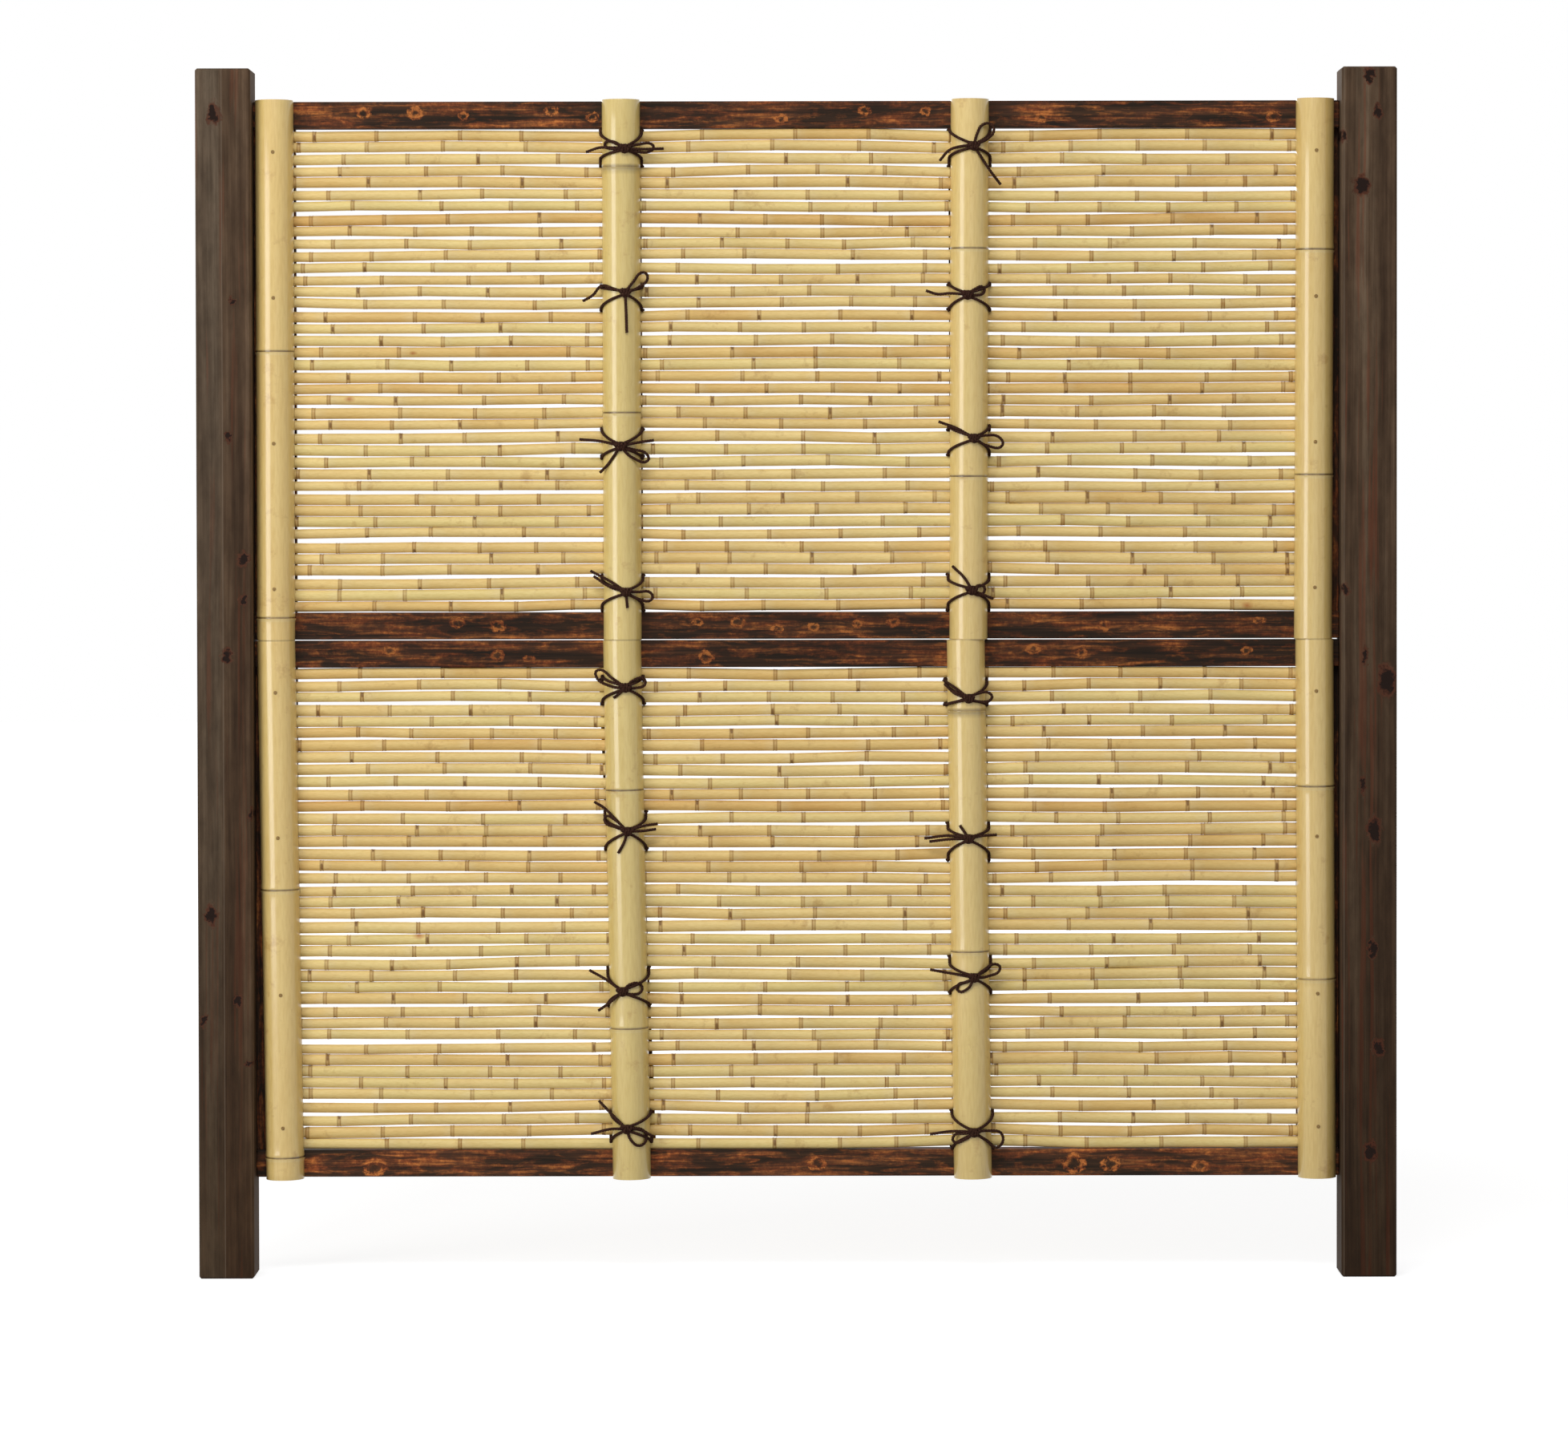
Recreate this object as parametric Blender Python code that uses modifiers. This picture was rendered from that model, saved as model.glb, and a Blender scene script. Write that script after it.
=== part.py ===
"""Bamboo screen fence bay: two stacked reed-style panels of thin horizontal culms between two square posts.

Each panel has a top and a bottom rail, two stiles and a screen of whole thin culms. Half-split culms stand
on the screen's face: the two outer ones are fixed to the stiles, and the two inner ones are lashed with
rope, through the gaps of the screen, to battens behind it.
X runs along the fence, Y from the face to the back, Z up. The origin is on the ground between the posts.
"""

import collections
import math
import random

import bmesh
import bpy
from mathutils import Matrix, Vector

MM = 0.001

# Whole fence
FENCE_HEIGHT = 1800 * MM
FENCE_WIDTH = 1783 * MM
POST_SIDE = 82 * MM
POST_EASE = 3 * MM
SEAT = 0.3 * MM

# Panels, which fill the posts' height between the clearance below them and the reveal above them
GROUND_CLEARANCE = 147.5 * MM
TOP_REVEAL = 47.5 * MM
PANEL_GAP = 2 * MM
PANEL_DEPTH = 30 * MM
FACE_SETBACK = 38 * MM
RAIL_HEIGHT = 40 * MM
TIMBER_EASE = 1.5 * MM
STILE_WIDTH = 62 * MM

# Screen of thin culms
ROD_COUNT = 40
ROD_DIAMETER = 14.4 * MM
ROD_TAPER = 0.6 * MM
ROD_TILT = 0.4 * MM
ROD_END_COVER = 20 * MM
ROD_SIDES = 6
BATTEN_WIDTH = 57 * MM
BATTEN_BITE = 1.2 * MM

# Half-split culms on the face
SPLIT_WIDTH = 57 * MM
SPLIT_WALL = 5 * MM
SPLIT_OVERHANG = 2 * MM
SPLIT_BUTT_GAP = 1.2 * MM
SPLIT_STEPS = 6
OUTER_CLEARANCE = 3.7 * MM
INNER_SHARE = 0.16
NODE_RISE = 0.9 * MM
NODE_LENGTH = 7 * MM

# Rope ties
ROPE_DIAMETER = 3.6 * MM
KNOT_WIDTH = 12 * MM
KNOT_DEPTH = 8 * MM
LEAST_TURN = math.radians(3)
# Outline of a bow as shares of its reach, along it and across it
BOW_OUTLINE = ((0.08, 0.0), (0.7, 0.22), (1.0, 0.0), (0.7, -0.22))

COLUMN_NAMES = {1: "left", 2: "mid_left", 3: "mid_right", 4: "right"}
# How far the middle of each half-split culm stands from its column's place, at its top and its bottom end
SPLIT_LEAN = {
    ("upper", 1): (0, 0),
    ("upper", 2): (-2 * MM, -1 * MM),
    ("upper", 3): (0, -3 * MM),
    ("upper", 4): (-4 * MM, -7 * MM),
    ("lower", 1): (0, 11 * MM),
    ("lower", 2): (-2 * MM, 11 * MM),
    ("lower", 3): (-7 * MM, 3 * MM),
    ("lower", 4): (-5 * MM, -1 * MM),
}
# The same for each batten behind the lashed culms
BATTEN_LEAN = {
    ("upper", 2): (-1 * MM, 1 * MM),
    ("upper", 3): (-3 * MM, -1 * MM),
    ("lower", 2): (-9 * MM, 18 * MM),
    ("lower", 3): (-3 * MM, 1 * MM),
}
# Growth nodes of each half-split culm, as shares of the panel's height
SPLIT_NODES = {
    ("upper", 1): (0.040, 0.535),
    ("upper", 2): (0.420, 0.876),
    ("upper", 3): (0.301, 0.724),
    ("upper", 4): (0.303, 0.721),
    ("lower", 1): (0.037, 0.536),
    ("lower", 2): (0.277, 0.721),
    ("lower", 3): (0.419, 0.868),
    ("lower", 4): (0.367, 0.726),
}
# A rope tie: its knot's height as a share of the panel's and its place beside the culm's middle, the two gaps
# of the screen that its turns pass through, then, in millimetres from the knot, the far end of its bow and the
# ends of its tails
Tie = collections.namedtuple("Tie", "knot aside low_gap high_gap bow tails")
TIES = {
    ("upper", 2): (
        Tie(0.092, 6 * MM, 1, 3, (38, -9), ((-51, 30), (2, -21))),
        Tie(0.363, -2 * MM, 13, 15, (39, -20), ((-60, 10), (-29, -38))),
        Tie(0.646, 6 * MM, 25, 27, (32, 29), ((-63, -12), (2, -56))),
        Tie(0.913, 5 * MM, 37, 39, (38, 1), ((-54, -4), (56, 0))),
    ),
    ("upper", 3): (
        Tie(0.094, 5 * MM, 1, 3, (24, -16), ((-26, 33), (32, -13))),
        Tie(0.376, 9 * MM, 13, 16, (40, -8), ((-51, 24),)),
        Tie(0.641, -3 * MM, 25, 27, (24, 7), ((-60, 6),)),
        Tie(0.917, 7 * MM, 37, 39, (20, 31), ((38, -54), (-49, -20))),
    ),
    ("lower", 2): (
        Tie(0.090, -6 * MM, 1, 3, (20, -20), ((-39, 38), (-50, -8), (37, -11))),
        Tie(0.347, -9 * MM, 12, 15, (27, 5), ((-48, 30), (-35, -29))),
        Tie(0.649, 4 * MM, 25, 28, (-29, 16), ((-48, 42), (42, 8), (-13, -32))),
        Tie(0.916, 5 * MM, 37, 39, (29, 7), ((-44, 21), (-17, -15))),
    ),
    ("lower", 3): (
        Tie(0.082, 2 * MM, 1, 3, (42, -8), ((-63, -4), (-30, -11))),
        Tie(0.373, 5 * MM, 13, 15, (33, 15), ((-62, 10), (-24, -17))),
        Tie(0.634, 1 * MM, 24, 27, (39, 5), ((-62, 0), (-12, 18))),
        Tie(0.896, 4 * MM, 37, 39, (33, 2), ((-36, 26), (-36, -7))),
    ),
}

POST_CENTRE = (FENCE_WIDTH - POST_SIDE) / 2
PANEL_HEIGHT = (FENCE_HEIGHT - GROUND_CLEARANCE - TOP_REVEAL - PANEL_GAP) / 2
PANEL_WIDTH = FENCE_WIDTH - 2 * POST_SIDE - 2 * SEAT
PANEL_FACE = FACE_SETBACK - POST_SIDE / 2
PANEL_BACK = PANEL_FACE + PANEL_DEPTH
PANEL_FOOT = {"lower": GROUND_CLEARANCE, "upper": GROUND_CLEARANCE + PANEL_HEIGHT + PANEL_GAP}
SCREEN_HEIGHT = PANEL_HEIGHT - 2 * RAIL_HEIGHT
ROD_PITCH = SCREEN_HEIGHT / ROD_COUNT
ROD_LENGTH = PANEL_WIDTH - 2 * ROD_END_COVER
ROD_AXIS = PANEL_FACE + ROD_DIAMETER / 2
ROD_BACK = PANEL_FACE + ROD_DIAMETER
SPLIT_RADIUS = SPLIT_WIDTH / 2
SPLIT_AXIS = PANEL_FACE - SEAT
SPLIT_CROWN = SPLIT_AXIS - SPLIT_RADIUS
OUTER_PLACE = PANEL_WIDTH / 2 - SPLIT_RADIUS - OUTER_CLEARANCE
INNER_PLACE = INNER_SHARE * PANEL_WIDTH
COLUMN_PLACES = {1: -OUTER_PLACE, 2: -INNER_PLACE, 3: INNER_PLACE, 4: OUTER_PLACE}
ROPE_RADIUS = ROPE_DIAMETER / 2
TURN_START = 0.7 * ROPE_DIAMETER
TURN_CLEARANCE = SEAT + 0.75 * ROPE_DIAMETER
BOW_PLANE = SPLIT_CROWN - SEAT - 0.6 * ROPE_DIAMETER


def clear_scene():
    for obj in list(bpy.data.objects):
        bpy.data.objects.remove(obj, do_unlink=True)
    for mesh in list(bpy.data.meshes):
        bpy.data.meshes.remove(mesh)


def new_collection(name):
    collection = bpy.data.collections.new(name)
    bpy.context.scene.collection.children.link(collection)
    return collection


def finish(name, colour, roughness):
    material = bpy.data.materials.new(name)
    material.use_nodes = True
    shader = material.node_tree.nodes["Principled BSDF"]
    shader.inputs["Base Color"].default_value = (*colour, 1.0)
    shader.inputs["Roughness"].default_value = roughness
    shader.inputs["Metallic"].default_value = 0.0
    return material


def object_from(bm, name, material, collection):
    bmesh.ops.recalc_face_normals(bm, faces=bm.faces)
    mesh = bpy.data.meshes.new(name)
    bm.to_mesh(mesh)
    bm.free()
    mesh.materials.append(material)
    obj = bpy.data.objects.new(name, mesh)
    collection.objects.link(obj)
    return obj


def mesh_copy(obj):
    """The object's shape after its modifiers, as a new mesh."""
    bpy.context.view_layer.update()
    graph = bpy.context.evaluated_depsgraph_get()
    return bpy.data.meshes.new_from_object(obj.evaluated_get(graph))


def united(base, others):
    """Makes base one solid with the others, which are removed."""
    for other in others:
        modifier = base.modifiers.new("join " + other.name, "BOOLEAN")
        modifier.operation = "UNION"
        modifier.object = other
    joined = mesh_copy(base)
    base.modifiers.clear()
    base.data = joined
    for other in others:
        bpy.data.objects.remove(other, do_unlink=True)
    return base


def timber(name, size, centre, ease, material, collection):
    """A sawn length of timber with eased edges."""
    bm = bmesh.new()
    bmesh.ops.create_cube(bm, size=1.0, matrix=Matrix.Diagonal((*size, 1.0)))
    obj = object_from(bm, name, material, collection)
    obj.location = centre
    if ease:
        bevel = obj.modifiers.new("eased edges", "BEVEL")
        bevel.width = ease
        bevel.segments = 1
    return obj


def rod_height(panel, gap):
    """Height of the middle of a gap of the screen, counted up from the bottom rail."""
    return PANEL_FOOT[panel] + RAIL_HEIGHT + gap * ROD_PITCH


def add_rod(bm, height, rng):
    """A thin culm along X, thicker at its root end and never quite level."""
    root_side = rng.choice((-1, 1))
    tilt = math.atan(rng.uniform(-ROD_TILT, ROD_TILT) / ROD_LENGTH)
    # Flats face up and down, and an edge faces the front and the back.
    lay_down = Matrix.Rotation(math.radians(90 * root_side) + tilt, 4, "Y")
    bmesh.ops.create_cone(
        bm,
        cap_ends=True,
        segments=ROD_SIDES,
        radius1=(ROD_DIAMETER + ROD_TAPER / 2) / 2,
        radius2=(ROD_DIAMETER - ROD_TAPER / 2) / 2,
        depth=ROD_LENGTH,
        matrix=Matrix.Translation((0, ROD_AXIS, height)) @ lay_down,
    )


def make_batten(name, panel, column, front, material, collection):
    """A flat batten behind the screen, from rail to rail."""
    top, bottom = BATTEN_LEAN[panel, column]
    low = PANEL_FOOT[panel] + RAIL_HEIGHT + SEAT
    high = PANEL_FOOT[panel] + PANEL_HEIGHT - RAIL_HEIGHT - SEAT
    middle = Vector((0, (front + PANEL_BACK) / 2, (low + high) / 2))
    size = Matrix.Diagonal((BATTEN_WIDTH, PANEL_BACK - front, high - low, 1.0))
    bm = bmesh.new()
    for corner in bmesh.ops.create_cube(bm, size=1.0, matrix=Matrix.Translation(middle) @ size)["verts"]:
        corner.co.x += COLUMN_PLACES[column] + (top if corner.co.z > middle.z else bottom)
    return object_from(bm, name, material, collection)


def make_screen(panel, seed, rod_finish, rail_finish, collection):
    """The culms of one screen, joined to the left one of its two battens."""
    rng = random.Random(seed)
    bm = bmesh.new()
    for index in range(ROD_COUNT):
        add_rod(bm, rod_height(panel, index + 0.5), rng)
    screen = object_from(bm, f"{panel}_rod_screen", rod_finish, collection)
    joined = make_batten("joined batten", panel, 2, ROD_BACK - BATTEN_BITE, rail_finish, collection)
    united(screen, [joined])
    make_batten(f"{panel}_{COLUMN_NAMES[3]}_batten", panel, 3, ROD_BACK + SEAT, rail_finish, collection)


def split_ends(panel):
    """Lowest and highest point of a half-split culm of this panel."""
    foot, head = PANEL_FOOT[panel], PANEL_FOOT[panel] + PANEL_HEIGHT
    meeting = GROUND_CLEARANCE + PANEL_HEIGHT + PANEL_GAP / 2
    if panel == "lower":
        return foot - SPLIT_OVERHANG, meeting - SPLIT_BUTT_GAP / 2
    return meeting + SPLIT_BUTT_GAP / 2, head + SPLIT_OVERHANG


def split_middle(panel, column, height):
    """X of the half-split culm's middle at this height."""
    low, high = split_ends(panel)
    top, bottom = SPLIT_LEAN[panel, column]
    return COLUMN_PLACES[column] + bottom + (top - bottom) * (height - low) / (high - low)


def batten_middle(panel, column, height):
    low = PANEL_FOOT[panel] + RAIL_HEIGHT
    high = PANEL_FOOT[panel] + PANEL_HEIGHT - RAIL_HEIGHT
    top, bottom = BATTEN_LEAN[panel, column]
    return COLUMN_PLACES[column] + bottom + (top - bottom) * (height - low) / (high - low)


def split_profile(panel, column, centre):
    """(radius, height) pairs down the outside, with a low ridge at each growth node."""
    low, high = split_ends(panel)
    profile = [(SPLIT_RADIUS, high - centre)]
    for node in reversed(SPLIT_NODES[panel, column]):
        at = PANEL_FOOT[panel] + node * PANEL_HEIGHT - centre
        profile.append((SPLIT_RADIUS, at + NODE_LENGTH / 2))
        profile.append((SPLIT_RADIUS + NODE_RISE, at))
        profile.append((SPLIT_RADIUS, at - NODE_LENGTH / 2))
    profile.append((SPLIT_RADIUS, low - centre))
    return profile


def make_split(panel, column, material, collection):
    """A half-split culm: the profile turned part of the way round, then given its wall."""
    low, high = split_ends(panel)
    centre = (low + high) / 2
    bm = bmesh.new()
    corners = [bm.verts.new((-radius, 0, height)) for radius, height in split_profile(panel, column, centre)]
    for upper, below in zip(corners, corners[1:]):
        bm.edges.new((upper, below))
    name = f"{panel}_{COLUMN_NAMES[column]}_split_culm"
    mesh = bpy.data.meshes.new(name)
    bm.to_mesh(mesh)
    bm.free()
    mesh.materials.append(material)
    obj = bpy.data.objects.new(name, mesh)
    collection.objects.link(obj)
    top, bottom = SPLIT_LEAN[panel, column]
    obj.location = (split_middle(panel, column, centre), SPLIT_AXIS, centre)
    obj.rotation_euler = (0, math.atan2(top - bottom, high - low), 0)
    turn = obj.modifiers.new("half turn", "SCREW")
    turn.axis = "Z"
    turn.angle = math.pi
    turn.steps = SPLIT_STEPS
    turn.render_steps = SPLIT_STEPS
    turn.use_normal_calculate = False
    wall = obj.modifiers.new("culm wall", "SOLIDIFY")
    wall.thickness = SPLIT_WALL
    wall.offset = -1
    obj.data = mesh_copy(obj)
    obj.modifiers.clear()
    # The two sawn edges lie flat against the screen.
    for corner in obj.data.vertices:
        corner.co.y = min(corner.co.y, 0.0)
    return obj


def strand(name, points, closed, material, collection):
    """A length of rope along the points, as a mesh with its caps welded."""
    curve = bpy.data.curves.new(name, "CURVE")
    curve.dimensions = "3D"
    curve.bevel_depth = ROPE_RADIUS
    curve.bevel_resolution = 0
    curve.use_fill_caps = True
    spline = curve.splines.new("POLY")
    spline.points.add(len(points) - 1)
    for point, place in zip(spline.points, points):
        point.co = (*place, 1.0)
    spline.use_cyclic_u = closed
    guide = bpy.data.objects.new(name, curve)
    collection.objects.link(guide)
    mesh = mesh_copy(guide)
    bpy.data.objects.remove(guide, do_unlink=True)
    bm = bmesh.new()
    bm.from_mesh(mesh)
    bmesh.ops.remove_doubles(bm, verts=bm.verts, dist=1e-6)
    return object_from(bm, name, material, collection)


def culm_surface(panel, column, angle, height, out):
    """A point this far out from the face of a half-split culm, at this angle from its crown."""
    reach = SPLIT_RADIUS + out
    x = split_middle(panel, column, height) + reach * math.sin(angle)
    return Vector((x, SPLIT_AXIS - reach * math.cos(angle), height))


def lashing_turn(panel, column, knot_height, knot_angle, gap):
    """One turn of rope: from the knot round the culm, through the screen and behind the batten."""
    leg_height = rod_height(panel, gap)
    start = knot_height + math.copysign(TURN_START, leg_height - knot_height)
    angles = {(turn / SPLIT_STEPS - 0.5) * math.pi for turn in range(SPLIT_STEPS + 1)}
    if min(abs(angle - knot_angle) for angle in angles) > LEAST_TURN:
        angles.add(knot_angle)
    over = []
    for angle in sorted(angles):
        sweep = math.pi / 2 - knot_angle if angle > knot_angle else math.pi / 2 + knot_angle
        share = abs(angle - knot_angle) / sweep
        height = start + (leg_height - start) * share
        over.append(culm_surface(panel, column, angle, height, SEAT + ROPE_RADIUS))
    batten = batten_middle(panel, column, leg_height)
    clear = BATTEN_WIDTH / 2 + TURN_CLEARANCE
    behind = PANEL_BACK + SEAT + ROPE_RADIUS
    left = min(over[0].x, batten - clear)
    right = max(over[-1].x, batten + clear)
    return over + [
        Vector((right, ROD_AXIS, leg_height)),
        Vector((right, behind, leg_height)),
        Vector((left, behind, leg_height)),
        Vector((left, ROD_AXIS, leg_height)),
    ]


def bow_loop(knot, reach, rise):
    """A flat bow from the knot: a drop-shaped ring of rope in front of the culm."""
    along = Vector((reach * MM, 0, rise * MM))
    across = Vector((-along.z, 0, along.x))
    return [knot + along * u + across * v for u, v in BOW_OUTLINE]


def make_tie(panel, column, number, tie, rope_finish, collection):
    knot_height = PANEL_FOOT[panel] + tie.knot * PANEL_HEIGHT
    knot_angle = math.asin(tie.aside / SPLIT_RADIUS)
    knot = culm_surface(panel, column, knot_angle, knot_height, SEAT + KNOT_DEPTH / 2)
    name = f"{panel}_{COLUMN_NAMES[column]}_rope_tie_{number}"
    bm = bmesh.new()
    size = Matrix.Diagonal((KNOT_WIDTH / 2, KNOT_DEPTH / 2, KNOT_WIDTH / 2, 1.0))
    bmesh.ops.create_icosphere(bm, subdivisions=1, radius=1.0, matrix=Matrix.Translation(knot) @ size)
    body = object_from(bm, name, rope_finish, collection)
    strands = []
    for label, gap in (("low", tie.low_gap), ("high", tie.high_gap)):
        turn = lashing_turn(panel, column, knot_height, knot_angle, gap)
        strands.append(strand(f"{name}_{label}_turn", turn, True, rope_finish, collection))
    front = Vector((knot.x, BOW_PLANE, knot.z))
    strands.append(strand(name + "_bow", bow_loop(front, *tie.bow), True, rope_finish, collection))
    for index, (across, up) in enumerate(tie.tails):
        end = front + Vector((across * MM, 0, up * MM))
        start = front + (end - front).normalized() * KNOT_WIDTH / 4
        strands.append(strand(f"{name}_tail_{index}", [start, end], False, rope_finish, collection))
    return united(body, strands)


def main():
    clear_scene()
    fence = new_collection("bamboo_screen_fence")
    post_finish = finish("stained_cedar", (0.045, 0.030, 0.022), 0.6)
    rail_finish = finish("burnt_cedar", (0.030, 0.014, 0.008), 0.45)
    rod_finish = finish("thin_culm", (0.70, 0.48, 0.20), 0.45)
    split_finish = finish("split_culm", (0.68, 0.52, 0.24), 0.35)
    rope_finish = finish("dyed_rope", (0.016, 0.008, 0.006), 0.85)

    for name, side in (("left_post", -1), ("right_post", 1)):
        size = (POST_SIDE, POST_SIDE, FENCE_HEIGHT)
        centre = (side * POST_CENTRE, 0, FENCE_HEIGHT / 2)
        timber(name, size, centre, POST_EASE, post_finish, fence)

    middle_depth = (PANEL_FACE + PANEL_BACK) / 2
    for seed, panel in enumerate(("lower", "upper")):
        foot = PANEL_FOOT[panel]
        head = foot + PANEL_HEIGHT
        for place, height in (("bottom", foot + RAIL_HEIGHT / 2), ("top", head - RAIL_HEIGHT / 2)):
            size = (PANEL_WIDTH, PANEL_DEPTH, RAIL_HEIGHT)
            timber(f"{panel}_{place}_rail", size, (0, middle_depth, height), TIMBER_EASE, rail_finish, fence)
        front = ROD_BACK + SEAT
        for label, side in (("left", -1), ("right", 1)):
            size = (STILE_WIDTH, PANEL_BACK - front, SCREEN_HEIGHT - 2 * SEAT)
            across = side * (PANEL_WIDTH - STILE_WIDTH) / 2
            centre = (across, (front + PANEL_BACK) / 2, (foot + head) / 2)
            timber(f"{panel}_{label}_stile", size, centre, 0, rail_finish, fence)
        make_screen(panel, seed, rod_finish, rail_finish, fence)
        for column in (1, 2, 3, 4):
            make_split(panel, column, split_finish, fence)
        for column in (2, 3):
            for number, tie in enumerate(TIES[panel, column], 1):
                make_tie(panel, column, number, tie, rope_finish, fence)


main()
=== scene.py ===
# %% [markdown]
# # A bamboo screen fence bay
#
# The fence is made of five things: dark stained posts, burnt cedar rails, eighty thin bamboo culms laid
# level, eight half-split culms standing on the face, and rope ties. The solid model of the fence is loaded
# first and stays as the fixed frame. Its posts, rails, stiles and battens keep their shape and only get a
# finish. The culms and the rope are modelled again here, because their nodes, buds, taper and twist are what
# the eye reads as bamboo and rope.

import math
import random

import bpy
from mathutils import Matrix, Vector


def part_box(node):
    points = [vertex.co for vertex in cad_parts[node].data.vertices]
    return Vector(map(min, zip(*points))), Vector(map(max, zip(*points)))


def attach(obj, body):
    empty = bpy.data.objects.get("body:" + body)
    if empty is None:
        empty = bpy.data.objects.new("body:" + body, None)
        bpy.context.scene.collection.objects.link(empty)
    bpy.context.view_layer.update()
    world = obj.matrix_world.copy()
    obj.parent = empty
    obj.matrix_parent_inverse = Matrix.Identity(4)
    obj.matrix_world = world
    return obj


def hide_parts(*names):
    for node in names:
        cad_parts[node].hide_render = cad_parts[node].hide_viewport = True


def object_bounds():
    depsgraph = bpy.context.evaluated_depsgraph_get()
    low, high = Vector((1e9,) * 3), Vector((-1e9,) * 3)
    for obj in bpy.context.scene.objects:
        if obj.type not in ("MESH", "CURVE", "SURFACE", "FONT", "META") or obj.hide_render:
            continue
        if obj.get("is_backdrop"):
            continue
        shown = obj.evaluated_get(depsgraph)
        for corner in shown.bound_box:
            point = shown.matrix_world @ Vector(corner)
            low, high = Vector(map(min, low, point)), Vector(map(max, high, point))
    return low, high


MM = 0.001
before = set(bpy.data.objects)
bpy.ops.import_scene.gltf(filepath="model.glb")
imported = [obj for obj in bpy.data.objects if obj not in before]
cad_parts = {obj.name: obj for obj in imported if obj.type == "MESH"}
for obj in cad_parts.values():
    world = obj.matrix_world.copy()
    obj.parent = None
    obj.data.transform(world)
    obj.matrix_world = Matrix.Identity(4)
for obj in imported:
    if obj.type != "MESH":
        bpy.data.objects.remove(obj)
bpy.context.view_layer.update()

# %% [markdown]
# ## The camera
#
# The photograph is taken from far away with a long lens, a little above the fence's middle: the posts stay
# parallel and the rails stay level. A long lens at more than eight metres gives the same. The camera looks
# down by about one degree, and a small shift brings the fence to its place in the picture, so that the posts
# don't lean.

# %% place the camera
PICTURE_WIDTH = 1956
FOCAL_PIXELS = 7056
SHIFT_PIXELS = (-16, -156)
EYE = Vector((0, -8441 * MM, 1177 * MM))
LOOK_DOWN = math.radians(1.16)
ROLL = math.radians(-0.1)
FARTHEST = 100

bpy.ops.object.camera_add(location=EYE)
camera = bpy.context.object
camera.name = "studio_camera"
camera.data.lens = camera.data.sensor_width * FOCAL_PIXELS / PICTURE_WIDTH
camera.data.shift_x, camera.data.shift_y = (pixels / PICTURE_WIDTH for pixels in SHIFT_PIXELS)
camera.data.clip_end = FARTHEST
turned = Matrix.Rotation(math.radians(90) - LOOK_DOWN, 4, "X") @ Matrix.Rotation(ROLL, 4, "Z")
camera.matrix_world = Matrix.Translation(EYE) @ turned
bpy.context.scene.camera = camera
print("lens", round(camera.data.lens, 1), "mm, shift", round(camera.data.shift_y, 3))

# %% [markdown]
# ## Finishes
#
# Every finish here is a tree of nodes that works out its colour from the place on the piece. Most trees need
# the same few steps, such as stretched noise, a colour ramp or a weighted sum, so each step gets a function.

# %% helpers for node materials
def new_material(name):
    """A material with an empty node tree."""
    material = bpy.data.materials.new(name)
    material.use_nodes = True
    material.node_tree.nodes.clear()
    return material


def add(material, kind, inputs, **settings):
    """Adds a node. Inputs are values, or sockets of other nodes that are then linked."""
    tree = material.node_tree
    node = tree.nodes.new("ShaderNode" + kind)
    for key, value in settings.items():
        setattr(node, key, value)
    for key, value in inputs.items():
        if isinstance(value, bpy.types.NodeSocket):
            tree.links.new(value, node.inputs[key])
        else:
            node.inputs[key].default_value = value
    return node


def colour(red, green, blue):
    """A colour as it is read on screen, from 0 to 255, as the linear value that a shader takes."""
    linear = []
    for level in (red, green, blue):
        share = level / 255
        linear.append(share / 12.92 if share <= 0.04045 else ((share + 0.055) / 1.055) ** 2.4)
    return (*linear, 1.0)


def grey(level):
    return (level, level, level, 1.0)


def own_place(material):
    """The place on the piece, in the piece's own coordinates."""
    return add(material, "TexCoord", {}).outputs["Object"]


def stored(material, name):
    """A number that was stored in the mesh while it was modelled."""
    return add(material, "Attribute", {}, attribute_name=name).outputs["Fac"]


def maths(material, operation, *values, clamp=False):
    """One number worked out from up to three."""
    inputs = dict(enumerate(values))
    return add(material, "Math", inputs, operation=operation, use_clamp=clamp).outputs[0]


def total(material, start, *shares):
    """The start and then each value times its weight, added up."""
    for value, weight in shares:
        start = maths(material, "MULTIPLY_ADD", value, weight, start)
    return start


def vector(material, operation, first, second=None):
    """A vector worked out from one or two others, or its length."""
    inputs = {0: first}
    if second is not None:
        inputs["Scale" if operation == "SCALE" else 1] = second
    node = add(material, "VectorMath", inputs, operation=operation)
    return node.outputs["Value" if operation == "LENGTH" else 0]


def spread(material, value, start, end, first=0.0, last=1.0, **settings):
    """A number carried over from the range of start to end to the range of first to last."""
    inputs = {"Value": value, "From Min": start, "From Max": end, "To Min": first, "To Max": last}
    return add(material, "MapRange", inputs, **settings).outputs[0]


def noise(material, place, scale, detail=2.0, roughness=0.5, wobble=0.0, out="Fac"):
    """A cloudy pattern. Its scale is one number, or one for each axis."""
    if isinstance(scale, tuple):
        place, scale = vector(material, "MULTIPLY", place, scale), 1.0
    inputs = {"Vector": place, "Scale": scale, "Detail": detail, "Roughness": roughness, "Distortion": wobble}
    return add(material, "TexNoise", inputs).outputs[out]


def ramp(material, factor, *stops):
    """A colour ramp. Each stop is a place on it and a colour, or a number for a grey."""
    node = add(material, "ValToRGB", {"Fac": factor})
    band = node.color_ramp
    while len(band.elements) < len(stops):
        band.elements.new(0.5)
    for element, (position, shade) in zip(band.elements, stops):
        element.position = position
        element.color = shade if isinstance(shade, tuple) else grey(shade)
    return node.outputs["Color"]


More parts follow.
